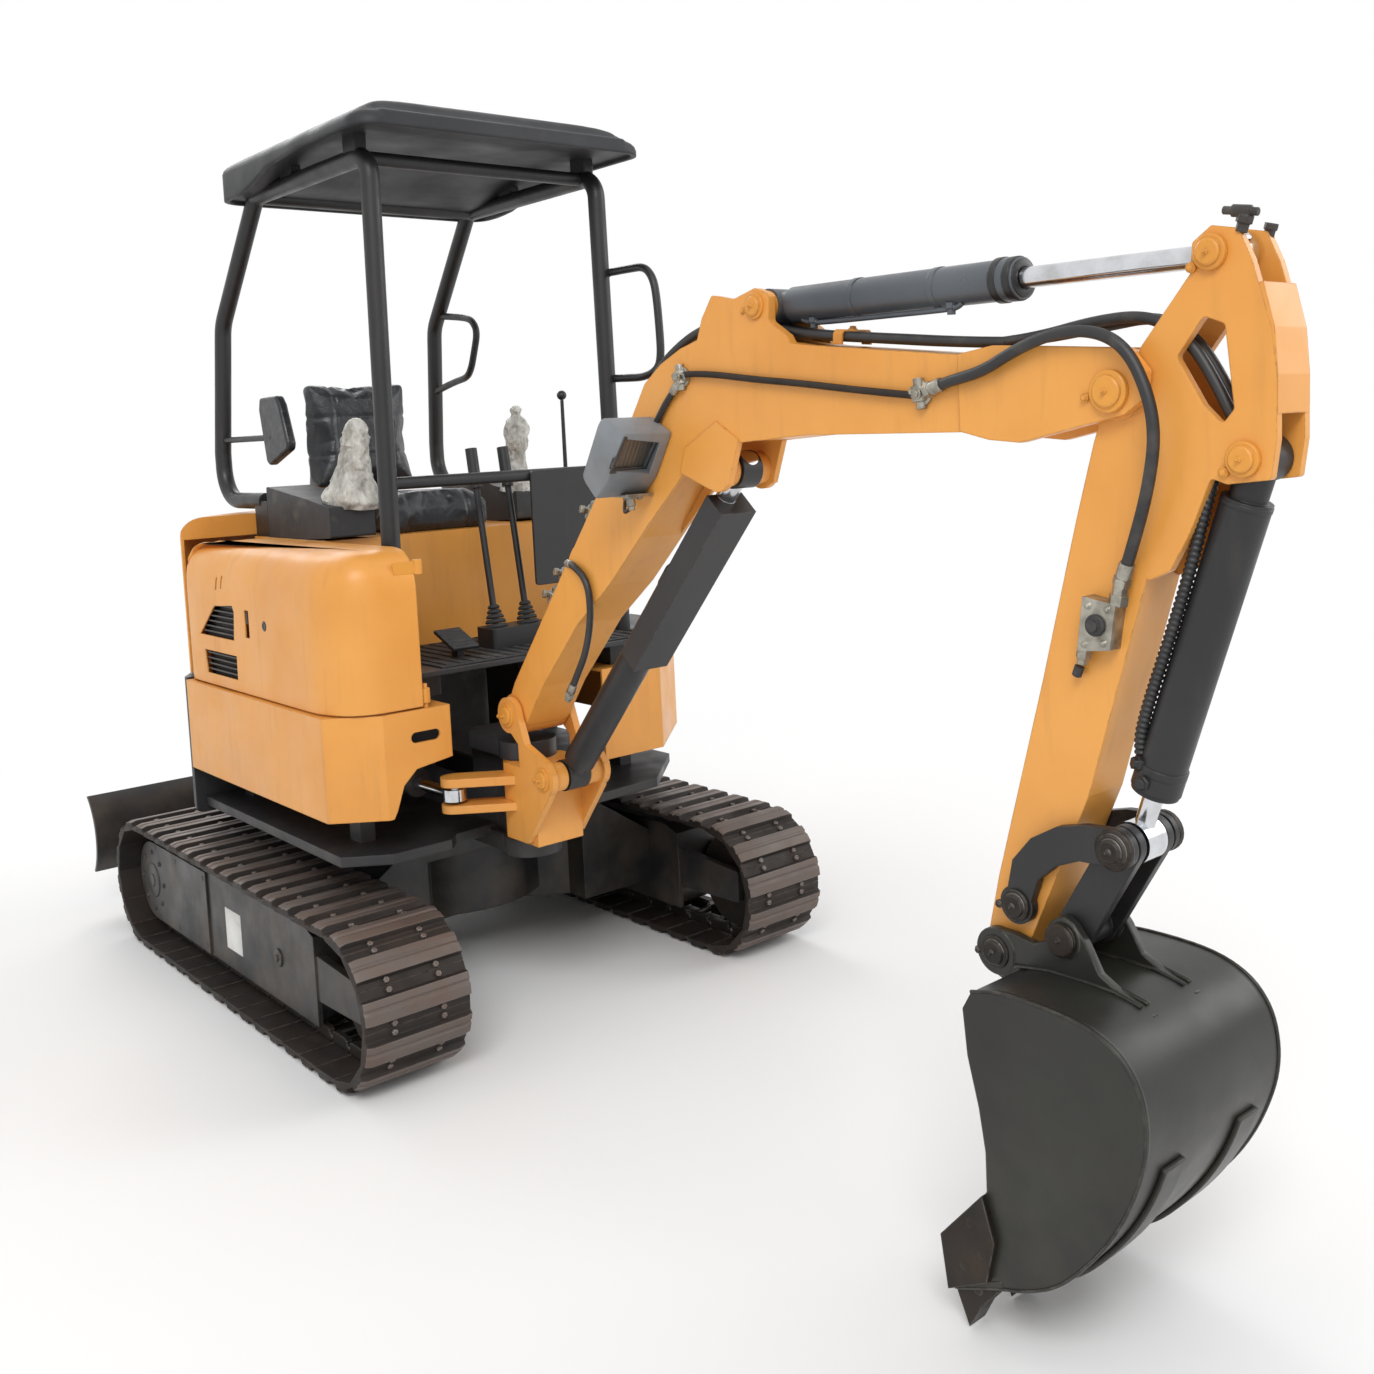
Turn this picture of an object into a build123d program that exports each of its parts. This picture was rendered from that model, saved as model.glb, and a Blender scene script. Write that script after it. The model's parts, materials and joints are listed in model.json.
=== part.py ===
"""Compact crawler excavator with a canopy, built as separate named pieces.

Frame: millimetres, Z up, ground at Z = 0. The machine faces -Y, so its right side
is -X. The slew axis is the Z axis. The boom, arm and bucket lie in the upright plane
X = BOOM_X, and points of that plane are written (Y, Z).
"""
from build123d import *
import os
from math import asin, atan2, cos, degrees, hypot, pi, radians, sin, sqrt, tan

os.makedirs("parts", exist_ok=True)

# ------------------------------------------------------------------ driving sizes
FIT = 0.3  # running clearance of a pin in its eye, and of faces that slide
GAP = 5.0  # free space between pieces that pass each other

MACHINE_WIDTH = 1400.0
TRACK_LENGTH = 1732.0
TRACK_HEIGHT = 385.0
SHOE_WIDTH = 266.0
SHOE_COUNT = 40
SHOE_PLATE = 10.0
GROUSER_HEIGHT = 14.0
CHAIN_DEPTH = 35.0
CHAIN_WIDTH = 90.0

TRACK_MIDDLE = MACHINE_WIDTH / 2 - SHOE_WIDTH / 2
FRAME_HALF = 75.0  # half width of a track frame
FRAME_WALL_OUT = TRACK_MIDDLE + FRAME_HALF
FRAME_WALL_IN = TRACK_MIDDLE - FRAME_HALF
FRAME_TOP = 318.0
FRAME_FOOT = 72.0

HUB_TOP = 420.0  # top of the car body
RING_TOP = 470.0
RING_RADIUS = 265.0
RING_BORE = 200.0

BLADE_TOP = 388.0
BLADE_FOOT = 140.0
BLADE_Y = 1110.0
BLADE_PLATE = 14.0
BLADE_PIVOT = (470.0, 230.0)
BLADE_ARM_X = 270.0
BLADE_CYL_FOOT = (400.0, 375.0)
BLADE_CYL_EYE = (860.0, 300.0)
BLADE_LUG_HALF = 22.0

DECK_FOOT = 475.0
DECK_PLATE = 25.0
TAIL_RADIUS = 712.0
TAIL_FRONT = 335.0
SKIRT_X = TAIL_RADIUS - 90.0  # outer face of the lower covers
DECK_HALF = SKIRT_X - 32.0
SKIRT_FOOT = 592.0
SKIRT_TOP = 845.0
SKIRT_FRONT = -650.0
COVER_X = SKIRT_X - 12.0
COVER_TOP = 1235.0
SHEET = 8.0

BOOM_X = -140.0
SWING_Y = -690.0
BRACKET_FOOT = 490.0
BRACKET_TOP = 690.0
BRACKET_RADIUS = 64.0

# pins of the front, (Y, Z)
BOOM_FOOT = (-740.0, 810.0)
BOOM_CYL_FOOT = (-885.0, 672.0)
BOOM_CYL_EYE = (-1556.0, 1402.0)
ARM_CYL_FOOT = (-1686.0, 1713.0)
ARM_PIVOT = (-2468.0, 1513.0)
ARM_CYL_EYE = (-2622.0, 1698.0)
BUCKET_CYL_FOOT = (-2667.0, 1409.0)
TILT_LINK_PIVOT = (-2267.0, 687.0)
LINK_PIN = (-2458.0, 818.0)
BUCKET_PIN = (-2222.0, 597.0)
BUCKET_LINK_PIN = (-2358.0, 653.0)

PIN_RADIUS = 20.0
BOOM_HALF = 62.0
NOSE_HALF = 68.0
NOSE_WALL = 18.0
ARM_HALF = 46.0
HEAD_WALL = 14.0
EYE_HALF = 28.0
BRACKET_EAR = 18.0
BUCKET_HALF = 190.0
BUCKET_WALL = 10.0

ROOF_HALF = 430.0
ROOF_FRONT = -560.0
ROOF_REAR = 330.0
ROOF_WALL = 14.0
POST_RADIUS = 24.0


# ------------------------------------------------------------------ shared helpers
def side_plane(x=BOOM_X):
    """Upright plane across the machine: sketch x is Y, sketch y is Z."""
    return Plane(origin=(x, 0, 0), x_dir=(0, 1, 0), z_dir=(1, 0, 0))


def front_plane(y):
    """Upright plane along the machine: sketch x is X, sketch y is Z, facing -Y."""
    return Plane(origin=(0, y, 0), x_dir=(1, 0, 0), z_dir=(0, -1, 0))


def polygon(plane, points, corner=0.0):
    """Closed outline on a plane, every corner rounded by the same radius."""
    with BuildSketch(plane) as outline:
        with BuildLine():
            Polyline(*points, close=True)
        make_face()
        if corner:
            fillet(outline.vertices(), corner)
    return outline.sketch


def disc(plane, centre, radius):
    """Round outline on a plane."""
    with BuildSketch(plane) as outline:
        with Locations(centre):
            Circle(radius)
    return outline.sketch


def lug(plane, ends, radius):
    """Outline of a lug: a strip with round ends at two pins, like a chain link."""
    with BuildSketch(plane) as outline:
        with Locations(ends[0], ends[1]):
            Circle(radius)
        make_hull()
    return outline.sketch


def toward(start, end, distance):
    """Point at a distance from start on the line to end."""
    length = hypot(end[0] - start[0], end[1] - start[1])
    return tuple(a + (b - a) * distance / length for a, b in zip(start, end))


# ------------------------------------------------------------------ undercarriage
SHOE_RADIUS = TRACK_HEIGHT / 2 - GROUSER_HEIGHT
TRACK_STRAIGHT = TRACK_LENGTH - TRACK_HEIGHT
AXLE_Z = TRACK_HEIGHT / 2
WHEEL_RADIUS = SHOE_RADIUS - SHOE_PLATE - CHAIN_DEPTH - FIT


def on_loop(share, height):
    """Point of the track at a share of its way round, and a height above the shoes."""
    radius = SHOE_RADIUS + height
    arc = pi * SHOE_RADIUS
    way = (share % 1.0) * 2 * (TRACK_STRAIGHT + arc)
    half = TRACK_STRAIGHT / 2
    if way < TRACK_STRAIGHT:
        return (half - way, AXLE_Z - radius)
    way -= TRACK_STRAIGHT
    if way < arc:
        turn = way / SHOE_RADIUS
        return (-half - radius * sin(turn), AXLE_Z - radius * cos(turn))
    way -= arc
    if way < TRACK_STRAIGHT:
        return (-half + way, AXLE_Z + radius)
    turn = (way - TRACK_STRAIGHT) / SHOE_RADIUS
    return (half + radius * sin(turn), AXLE_Z + radius * cos(turn))


# one shoe's outer face: share of the pitch, height above the plate (three grousers)
SHOE_OUTLINE = (
    (0.0, -0.5 * SHOE_PLATE),
    (0.06, 0.0),
    (0.14, GROUSER_HEIGHT),
    (0.22, GROUSER_HEIGHT),
    (0.26, 0.0),
    (0.42, 0.0),
    (0.46, GROUSER_HEIGHT),
    (0.54, GROUSER_HEIGHT),
    (0.58, 0.0),
    (0.74, 0.0),
    (0.78, GROUSER_HEIGHT),
    (0.86, GROUSER_HEIGHT),
    (0.94, 0.0),
)


def track(side):
    """One track: shoes with grousers all round, and the chain under them."""
    middle = side_plane(side * TRACK_MIDDLE)
    shoes = [
        on_loop((shoe + along) / SHOE_COUNT, height)
        for shoe in range(SHOE_COUNT)
        for along, height in SHOE_OUTLINE
    ]
    with BuildPart() as loop:
        extrude(to_extrude=polygon(middle, shoes), amount=SHOE_WIDTH / 2, both=True)
        with BuildSketch(middle):
            with Locations((0, AXLE_Z)):
                inner = SHOE_RADIUS - SHOE_PLATE
                SlotOverall(TRACK_STRAIGHT + 2 * inner, 2 * inner)
        extrude(amount=SHOE_WIDTH, both=True, mode=Mode.SUBTRACT)
        with BuildSketch(middle):
            with Locations((0, AXLE_Z)):
                outer = SHOE_RADIUS - SHOE_PLATE + 1
                SlotOverall(TRACK_STRAIGHT + 2 * outer, 2 * outer)
                inner = SHOE_RADIUS - SHOE_PLATE - CHAIN_DEPTH
                SlotOverall(TRACK_STRAIGHT + 2 * inner, 2 * inner, mode=Mode.SUBTRACT)
        extrude(amount=CHAIN_WIDTH / 2, both=True)
    return loop.part


for side, word in ((-1, "right"), (1, "left")):
    loop = track(side)
    loop.label = f"track_{word}"
    export_step(loop, f"parts/track_{word}.step")

FRAME_REAR = 600.0
FRAME_FRONT = -470.0
FORK_FRONT = -735.0
ROLLER_RADIUS = 42.0
ROLLER_Z = GROUSER_HEIGHT + SHOE_PLATE + CHAIN_DEPTH + ROLLER_RADIUS + FIT
ROLLER_PLACES = (-400.0, -140.0, 120.0, 380.0)

for side, word in ((-1, "right"), (1, "left")):
    middle = side_plane(side * TRACK_MIDDLE)
    half = (FRAME_WALL_OUT - FRAME_WALL_IN) / 2
    with BuildPart() as track_frame:
        beam = (
            (FRAME_REAR, FRAME_FOOT + 40),
            (FRAME_REAR - 40, FRAME_FOOT),
            (FRAME_FRONT, FRAME_FOOT),
            (FRAME_FRONT, FRAME_TOP - 20),
            (FRAME_FRONT + 60, FRAME_TOP),
            (FRAME_REAR, FRAME_TOP),
        )
        extrude(to_extrude=polygon(middle, beam), amount=half, both=True)
        rail = ROLLER_Z + ROLLER_RADIUS + GAP
        slot = ((FRAME_REAR, 0), (FRAME_FRONT, 0), (FRAME_FRONT, rail), (FRAME_REAR, rail))
        extrude(to_extrude=polygon(middle, slot), amount=half - 12, both=True, mode=Mode.SUBTRACT)
        tail = ((FRAME_REAR, AXLE_Z - 110), (FRAME_REAR, FRAME_TOP), (490, FRAME_TOP), (490, AXLE_Z - 110))
        extrude(to_extrude=polygon(middle, tail), amount=half - 12, both=True, mode=Mode.SUBTRACT)
        for place in ROLLER_PLACES:
            extrude(to_extrude=disc(middle, (place, ROLLER_Z), ROLLER_RADIUS), amount=half - 12, both=True)
        for cheek in (-1, 1):
            fork = side_plane(side * TRACK_MIDDLE + cheek * (half - 14))
            arm = ((FRAME_FRONT, AXLE_Z - 55), (FORK_FRONT, AXLE_Z - 45), (FORK_FRONT, AXLE_Z + 45), (FRAME_FRONT, AXLE_Z + 60))
            extrude(to_extrude=polygon(fork, arm, 8), amount=10, both=True)
        plate = side_plane(side * (FRAME_WALL_IN + 6))
        extrude(to_extrude=lug(plate, ((TRACK_STRAIGHT / 2, AXLE_Z), (560, AXLE_Z + 15)), 82), amount=6, both=True)
        axle = disc(middle, (-TRACK_STRAIGHT / 2, AXLE_Z), PIN_RADIUS)
        extrude(to_extrude=axle, amount=half - 10, both=True)
    track_frame.part.label = f"track_frame_{word}"
    export_step(track_frame.part, f"parts/track_frame_{word}.step")

    with BuildPart() as idler:
        rim = disc(middle, (-TRACK_STRAIGHT / 2, AXLE_Z), WHEEL_RADIUS)
        extrude(to_extrude=rim, amount=CHAIN_WIDTH / 2 - 12, both=True)
        bore = disc(middle, (-TRACK_STRAIGHT / 2, AXLE_Z), PIN_RADIUS + FIT)
        extrude(to_extrude=bore, amount=CHAIN_WIDTH, both=True, mode=Mode.SUBTRACT)
    idler.part.label = f"idler_{word}"
    export_step(idler.part, f"parts/idler_{word}.step")

    with BuildPart() as sprocket:
        with BuildSketch(middle):
            with Locations((TRACK_STRAIGHT / 2, AXLE_Z)):
                Circle(WHEEL_RADIUS - 16)
                with PolarLocations(WHEEL_RADIUS - 16, 18):
                    Trapezoid(26, 32, 80, rotation=-90)
        extrude(amount=22, both=True)
        drive = disc(side_plane(side * (TRACK_MIDDLE + 22)), (TRACK_STRAIGHT / 2, AXLE_Z), 72)
        extrude(to_extrude=drive, amount=side * 55)
        motor = disc(side_plane(side * (FRAME_WALL_IN + 12 + FIT)), (TRACK_STRAIGHT / 2, AXLE_Z), 70)
        extrude(to_extrude=motor, amount=side * (TRACK_MIDDLE - FRAME_WALL_IN - 12 - FIT))
    sprocket.part.label = f"sprocket_{word}"
    export_step(sprocket.part, f"parts/sprocket_{word}.step")

BODY_HALF = 330.0  # half length of the car body along the machine
with BuildPart() as car_body:
    section = (
        (-FRAME_WALL_IN, 130),
        (FRAME_WALL_IN, 130),
        (FRAME_WALL_IN, 285),
        (290, HUB_TOP),
        (-290, HUB_TOP),
        (-FRAME_WALL_IN, 285),
    )
    extrude(to_extrude=polygon(front_plane(0), section), amount=BODY_HALF, both=True)
    for side in (-1, 1):
        waist = ((BODY_HALF + 1, -250), (250, -250), (160, -120), (160, 120), (250, 250), (BODY_HALF + 1, 250))
        notch = [(y, side * x) for x, y in waist]
        extrude(to_extrude=polygon(Plane.XY, notch), amount=HUB_TOP - 60, mode=Mode.SUBTRACT)
    with BuildSketch(Plane.XY.offset(160)):
        Circle(RING_RADIUS)
    extrude(amount=HUB_TOP - 160)
    with BuildSketch(Plane.XY.offset(HUB_TOP)):
        Circle(RING_BORE + 12)
    extrude(amount=-120, mode=Mode.SUBTRACT)
    for x in (-BLADE_ARM_X, BLADE_ARM_X):
        ear = side_plane(x)
        ends = ((BODY_HALF - 60, BLADE_PIVOT[1]), BLADE_PIVOT)
        extrude(to_extrude=lug(ear, ends, 38), amount=48, both=True)
        extrude(to_extrude=disc(ear, BLADE_PIVOT, 60), amount=26 + FIT, both=True, mode=Mode.SUBTRACT)
        extrude(to_extrude=disc(ear, BLADE_PIVOT, PIN_RADIUS), amount=56, both=True)
    for x in (-BLADE_LUG_HALF - 8, BLADE_LUG_HALF + 8):
        ear = ((300, 300), (400, 345), (428, 375), (400, 403), (300, 403))
        extrude(to_extrude=polygon(side_plane(x), ear), amount=8, both=True)
    extrude(to_extrude=disc(side_plane(0), BLADE_CYL_FOOT, 15), amount=BLADE_LUG_HALF + 10, both=True)
car_body.part.label = "car_body"
export_step(car_body.part, "parts/car_body.step")

with BuildPart() as slew_ring:
    with BuildSketch(Plane.XY.offset(HUB_TOP)):
        Circle(RING_RADIUS - 8)
        Circle(RING_BORE, mode=Mode.SUBTRACT)
    extrude(amount=RING_TOP - HUB_TOP)
slew_ring.part.label = "slew_ring"
export_step(slew_ring.part, "parts/slew_ring.step")

# ------------------------------------------------------------------ blade

with BuildPart() as blade:
    with BuildSketch(side_plane(0)):
        with BuildLine():
            ThreePointArc((BLADE_Y - 22, BLADE_FOOT), (BLADE_Y - 62, (BLADE_TOP + BLADE_FOOT) / 2 + 8), (BLADE_Y, BLADE_TOP))
            Line((BLADE_Y, BLADE_TOP), (BLADE_Y + BLADE_PLATE, BLADE_TOP - 4))
            ThreePointArc(
                (BLADE_Y + BLADE_PLATE, BLADE_TOP - 4),
                (BLADE_Y - 62 + BLADE_PLATE, (BLADE_TOP + BLADE_FOOT) / 2 + 8),
                (BLADE_Y - 22 + BLADE_PLATE, BLADE_FOOT),
            )
            Line((BLADE_Y - 22 + BLADE_PLATE, BLADE_FOOT), (BLADE_Y - 22, BLADE_FOOT))
        make_face()
    extrude(amount=MACHINE_WIDTH / 2, both=True)
    back = BLADE_Y - 46
    for x in (-BLADE_ARM_X, BLADE_ARM_X):
        arm = (
            (BLADE_PIVOT[0], BLADE_PIVOT[1] - 32),
            (back + 2, BLADE_FOOT + 20),
            (back + 2, BLADE_FOOT + 130),
            (BLADE_PIVOT[0], BLADE_PIVOT[1] + 32),
        )
        extrude(to_extrude=polygon(side_plane(x), arm), amount=20, both=True)
        extrude(to_extrude=disc(side_plane(x), BLADE_PIVOT, 36), amount=26, both=True)
        bore = disc(side_plane(x), BLADE_PIVOT, PIN_RADIUS + FIT)
        extrude(to_extrude=bore, amount=60, both=True, mode=Mode.SUBTRACT)
    tie = ((880, 170), (980, 165), (980, 235), (880, 240))
    extrude(to_extrude=polygon(side_plane(0), tie), amount=BLADE_ARM_X, both=True)
    for x in (-BLADE_LUG_HALF - 12, BLADE_LUG_HALF + 12):
        ear = ((980, 200), (985, 290), (BLADE_CYL_EYE[0] + 8, BLADE_CYL_EYE[1] + 30), (BLADE_CYL_EYE[0] - 28, BLADE_CYL_EYE[1]), (882, 220))
        extrude(to_extrude=polygon(side_plane(x), ear), amount=8, both=True)
        extrude(to_extrude=disc(side_plane(x), BLADE_CYL_EYE, 30), amount=8, both=True)
blade.part.label = "blade"
export_step(blade.part, "parts/blade.step")

# ------------------------------------------------------------------ upper structure
DECK_LINE = (
    (-DECK_HALF, 0),
    (-DECK_HALF, -545),
    (-490, -620),
    (-330, -620),
    (-300, -585),
    (380, -535),
    (DECK_HALF, -325),
    (DECK_HALF, 0),
)
with BuildPart() as main_frame:
    with BuildSketch(Plane.XY.offset(DECK_FOOT)):
        Circle(TAIL_RADIUS - 24)
        with Locations((0, TAIL_RADIUS - 20)):
            Rectangle(2 * DECK_HALF, 2 * TAIL_RADIUS, mode=Mode.INTERSECT)
        with BuildLine():
            Polyline(*DECK_LINE, close=True)
        make_face()
    extrude(amount=DECK_PLATE)
    with BuildSketch(Plane.XY.offset(HUB_TOP + 8)):
        Circle(RING_BORE - FIT)
    extrude(amount=DECK_FOOT - HUB_TOP - 8)
    for x in (BOOM_X - 28, BOOM_X + 104):
        with BuildSketch(Plane.XY.offset(DECK_FOOT + DECK_PLATE)):
            with Locations((x, -300)):
                Rectangle(14, 560)
        extrude(amount=95)
    nose = ((BOOM_X - 34, -470), (BOOM_X + 110, -470), (BOOM_X + 110, -590), (BOOM_X + 60, -618), (BOOM_X - 34, -618))
    extrude(to_extrude=polygon(Plane.XY.offset(DECK_FOOT), nose), amount=BRACKET_TOP + 45 - DECK_FOOT)
    for foot, depth in ((BRACKET_FOOT - FIT - 45, 45), (BRACKET_TOP + FIT, 45 - FIT)):
        with BuildSketch(Plane.XY.offset(foot)):
            with Locations((BOOM_X, SWING_Y)):
                Circle(72)
            with Locations((BOOM_X, (SWING_Y - 500) / 2)):
                Rectangle(116, -SWING_Y - 500)
        extrude(amount=depth)
    with BuildSketch(Plane.XY.offset(BRACKET_FOOT - 20)):
        with Locations((BOOM_X, SWING_Y)):
            Circle(30)
    extrude(amount=BRACKET_TOP - BRACKET_FOOT + 40)
    with BuildSketch(Plane.XY.offset(DECK_FOOT + DECK_PLATE)):
        with Locations((-345, -60)):
            Circle(30)
    extrude(amount=95)
    with BuildSketch(Plane.XY.offset(590)):
        with Locations((-345, -60)):
            Circle(15)
    extrude(amount=55)
    # columns that carry the covers and the floor
    with BuildSketch(Plane.XY.offset(DECK_FOOT + DECK_PLATE)):
        with Locations((-480, -440), (-480, 240), (420, -300), (480, 240)):
            Rectangle(40, 60)
    extrude(amount=SKIRT_TOP - SHEET - FIT - DECK_FOOT - DECK_PLATE)
main_frame.part.label = "main_frame"
export_step(main_frame.part, "parts/main_frame.step")


def tail(plane, radius, half, front):
    """Plan outline behind the slew axis: straight sides, round tail, straight front."""
    with BuildSketch(plane) as outline:
        Circle(radius)
        with Locations((0, front + radius)):
            Rectangle(2 * half, 2 * radius, mode=Mode.INTERSECT)
    return outline.sketch


WEIGHT_FOOT = 455.0
WEIGHT_TOP = 850.0
HINGE_PIN = 6.0
HOOD_PIN_X = SKIRT_X - 20.0
HOOD_HINGE = (HOOD_PIN_X, TAIL_FRONT + 0.686 * (sqrt(TAIL_RADIUS**2 - HOOD_PIN_X**2) - TAIL_FRONT))
SIDE_HINGE = (-386.0, -634.0)
with BuildPart() as counterweight:
    extrude(to_extrude=tail(Plane.XY.offset(WEIGHT_FOOT), TAIL_RADIUS, SKIRT_X - 4, TAIL_FRONT), amount=WEIGHT_TOP - WEIGHT_FOOT)
    bay = tail(Plane.XY.offset(DECK_FOOT - FIT), TAIL_RADIUS - 24 + FIT, DECK_HALF + FIT, TAIL_FRONT - 10)
    extrude(to_extrude=bay, amount=DECK_PLATE + FIT, mode=Mode.SUBTRACT)
    bay = tail(Plane.XY.offset(DECK_FOOT), TAIL_RADIUS - 130, DECK_HALF - 110, TAIL_FRONT - 10)
    extrude(to_extrude=bay, amount=WEIGHT_TOP, mode=Mode.SUBTRACT)
    foot_edge = counterweight.edges().group_by(Axis.Z)[0].sort_by(Axis.Y)[-1]
    fillet(foot_edge, 30)
    with BuildSketch(Plane.XY.offset(WEIGHT_TOP - 1)):
        with Locations(HOOD_HINGE):
            Circle(HINGE_PIN)
    extrude(amount=80)
counterweight.part.label = "counterweight"
export_step(counterweight.part, "parts/counterweight.step")

HOOD_TOP = 1300.0
with BuildPart() as engine_hood:
    extrude(to_extrude=tail(Plane.XY.offset(WEIGHT_TOP + GAP), TAIL_RADIUS - 8, COVER_X - 20, TAIL_FRONT + 40), amount=HOOD_TOP - WEIGHT_TOP - GAP)
    top_edges = engine_hood.edges().group_by(Axis.Z)[-1].sort_by(Axis.Y)[-1]
    fillet(top_edges, 60)
    bay = tail(Plane.XY.offset(WEIGHT_TOP), TAIL_RADIUS - 8 - SHEET, COVER_X - 20 - SHEET, TAIL_FRONT)
    extrude(to_extrude=bay, amount=HOOD_TOP - WEIGHT_TOP - 62, mode=Mode.SUBTRACT)
    with BuildSketch(Plane.XY.offset(WEIGHT_TOP + 20)):
        with Locations(HOOD_HINGE):
            Circle(HINGE_PIN + 7)
        with Locations((HOOD_HINGE[0] - 10, HOOD_HINGE[1] + 9)):
            Rectangle(14, 14)
        with Locations(HOOD_HINGE):
            Circle(HINGE_PIN + FIT, mode=Mode.SUBTRACT)
    extrude(amount=40)
engine_hood.part.label = "engine_hood"
export_step(engine_hood.part, "parts/engine_hood.step")

# lower covers: plan outlines of the sheet's outer face, front corner cut off
SKIRT_CORNER_Y = -560.0
SKIRT_FRONT_OUT = -508.0
SKIRT_FRONT_IN = -330.0


def wall(plane, points, thickness):
    """Plan outline of a bent sheet: an open line given a thickness on its inner side."""
    with BuildSketch(plane) as outline:
        with BuildLine() as line:
            Polyline(*points)
            offset(amount=thickness, side=Side.LEFT)
        make_face()
    return outline.sketch


right_line = (
    (SKIRT_FRONT_IN, SKIRT_FRONT),
    (SKIRT_FRONT_OUT, SKIRT_FRONT),
    (-SKIRT_X, SKIRT_CORNER_Y),
    (-SKIRT_X, TAIL_FRONT - GAP),
)
with BuildPart() as skirt_right:
    band = polygon(Plane.XY.offset(SKIRT_FOOT), right_line + ((SKIRT_FRONT_IN, TAIL_FRONT - GAP),))
    extrude(to_extrude=band, amount=SKIRT_TOP - SKIRT_FOOT)
    inner = (
        (SKIRT_FRONT_IN + 1, SKIRT_FRONT + SHEET),
        (SKIRT_FRONT_OUT + SHEET * 0.4, SKIRT_FRONT + SHEET),
        (-SKIRT_X + SHEET, SKIRT_CORNER_Y + SHEET * 0.4),
        (-SKIRT_X + SHEET, TAIL_FRONT),
        (SKIRT_FRONT_IN + 1, TAIL_FRONT),
    )
    bay = polygon(Plane.XY.offset(SKIRT_FOOT - 1), inner)
    extrude(to_extrude=bay, amount=SKIRT_TOP - SKIRT_FOOT - SHEET + 1, mode=Mode.SUBTRACT)
    arch = (
        (SKIRT_FRONT_IN + 1, 716),
        (SKIRT_FRONT_IN - 98, 702),
        (SKIRT_FRONT_IN - 134, 668),
        (SKIRT_FRONT_IN - 155, 610),
        (SKIRT_FRONT_IN - 166, SKIRT_FOOT - 1),
        (SKIRT_FRONT_IN + 1, SKIRT_FOOT - 1),
    )
    extrude(to_extrude=polygon(front_plane(SKIRT_FRONT + 60), arch), amount=120, mode=Mode.SUBTRACT)
    with BuildSketch(front_plane(SKIRT_FRONT + 30)):
        with Locations(((SKIRT_FRONT_IN + SKIRT_FRONT_OUT) / 2 + 20, 778)):
            SlotOverall(78, 26)
    extrude(amount=60, mode=Mode.SUBTRACT)
    with BuildSketch(Plane.XY.offset(SKIRT_TOP - 2)):
        with Locations(SIDE_HINGE):
            Circle(HINGE_PIN)
    extrude(amount=60)
skirt_right.part.label = "skirt_right"
export_step(skirt_right.part, "parts/skirt_right.step")

left_line = (
    (190, -560),
    (390, -560),
    (SKIRT_X, -330),
    (SKIRT_X, TAIL_FRONT - GAP),
)
with BuildPart() as skirt_left:
    band = polygon(Plane.XY.offset(SKIRT_FOOT), left_line + ((190, TAIL_FRONT - GAP),))
    extrude(to_extrude=band, amount=SKIRT_TOP - SKIRT_FOOT)
    inner = (
        (189, -560 + SHEET),
        (390 - SHEET * 0.4, -560 + SHEET),
        (SKIRT_X - SHEET, -330 + SHEET * 0.4),
        (SKIRT_X - SHEET, TAIL_FRONT),
        (189, TAIL_FRONT),
    )
    bay = polygon(Plane.XY.offset(SKIRT_FOOT - 1), inner)
    extrude(to_extrude=bay, amount=SKIRT_TOP - SKIRT_FOOT - SHEET + 1, mode=Mode.SUBTRACT)
skirt_left.part.label = "skirt_left"
export_step(skirt_left.part, "parts/skirt_left.step")

COVER_FOOT = SKIRT_TOP + GAP
COVER_IN = -398.0
COVER_FRONT = -640.0
COVER_REAR = TAIL_FRONT - 10
with BuildPart() as cover_right:
    cover_line = (
        (COVER_IN, COVER_REAR),
        (-COVER_X, COVER_REAR),
        (-COVER_X, -575),
        (-500, COVER_FRONT),
        (COVER_IN, COVER_FRONT),
    )
    extrude(to_extrude=polygon(Plane.XY.offset(COVER_FOOT), cover_line), amount=COVER_TOP - COVER_FOOT)
    top_edges = cover_right.edges().group_by(Axis.Z)[-1]
    outer_edges = top_edges.filter_by(lambda e: e.center().X < COVER_IN - 1)
    chamfer(outer_edges, 60, 34)
    bay = (
        (COVER_IN + 1, COVER_REAR + 1),
        (-COVER_X + SHEET, COVER_REAR + 1),
        (-COVER_X + SHEET, -575 + SHEET * 0.5),
        (-500 + SHEET * 0.3, COVER_FRONT + SHEET),
        (COVER_IN + 1, COVER_FRONT + SHEET),
    )
    inside = polygon(Plane.XY.offset(COVER_FOOT - 1), bay)
    extrude(to_extrude=inside, amount=COVER_TOP - COVER_FOOT - 66, mode=Mode.SUBTRACT)
    for low, high in ((893, 970), (1000, 1080)):
        grille = ((200, low), (0, low), (0, high), (170, high))
        extrude(to_extrude=polygon(side_plane(-COVER_X), grille, 8), amount=2 * SHEET, both=True, mode=Mode.SUBTRACT)
    with BuildSketch(Plane.XY.offset(COVER_FOOT + 5)):
        with Locations(SIDE_HINGE):
            Circle(HINGE_PIN + 6)
        with Locations((SIDE_HINGE[0] - 10, SIDE_HINGE[1])):
            Rectangle(16, 11)
        with Locations(SIDE_HINGE):
            Circle(HINGE_PIN + FIT, mode=Mode.SUBTRACT)
    extrude(amount=34)
cover_right.part.label = "cover_right"
export_step(cover_right.part, "parts/cover_right.step")

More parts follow.
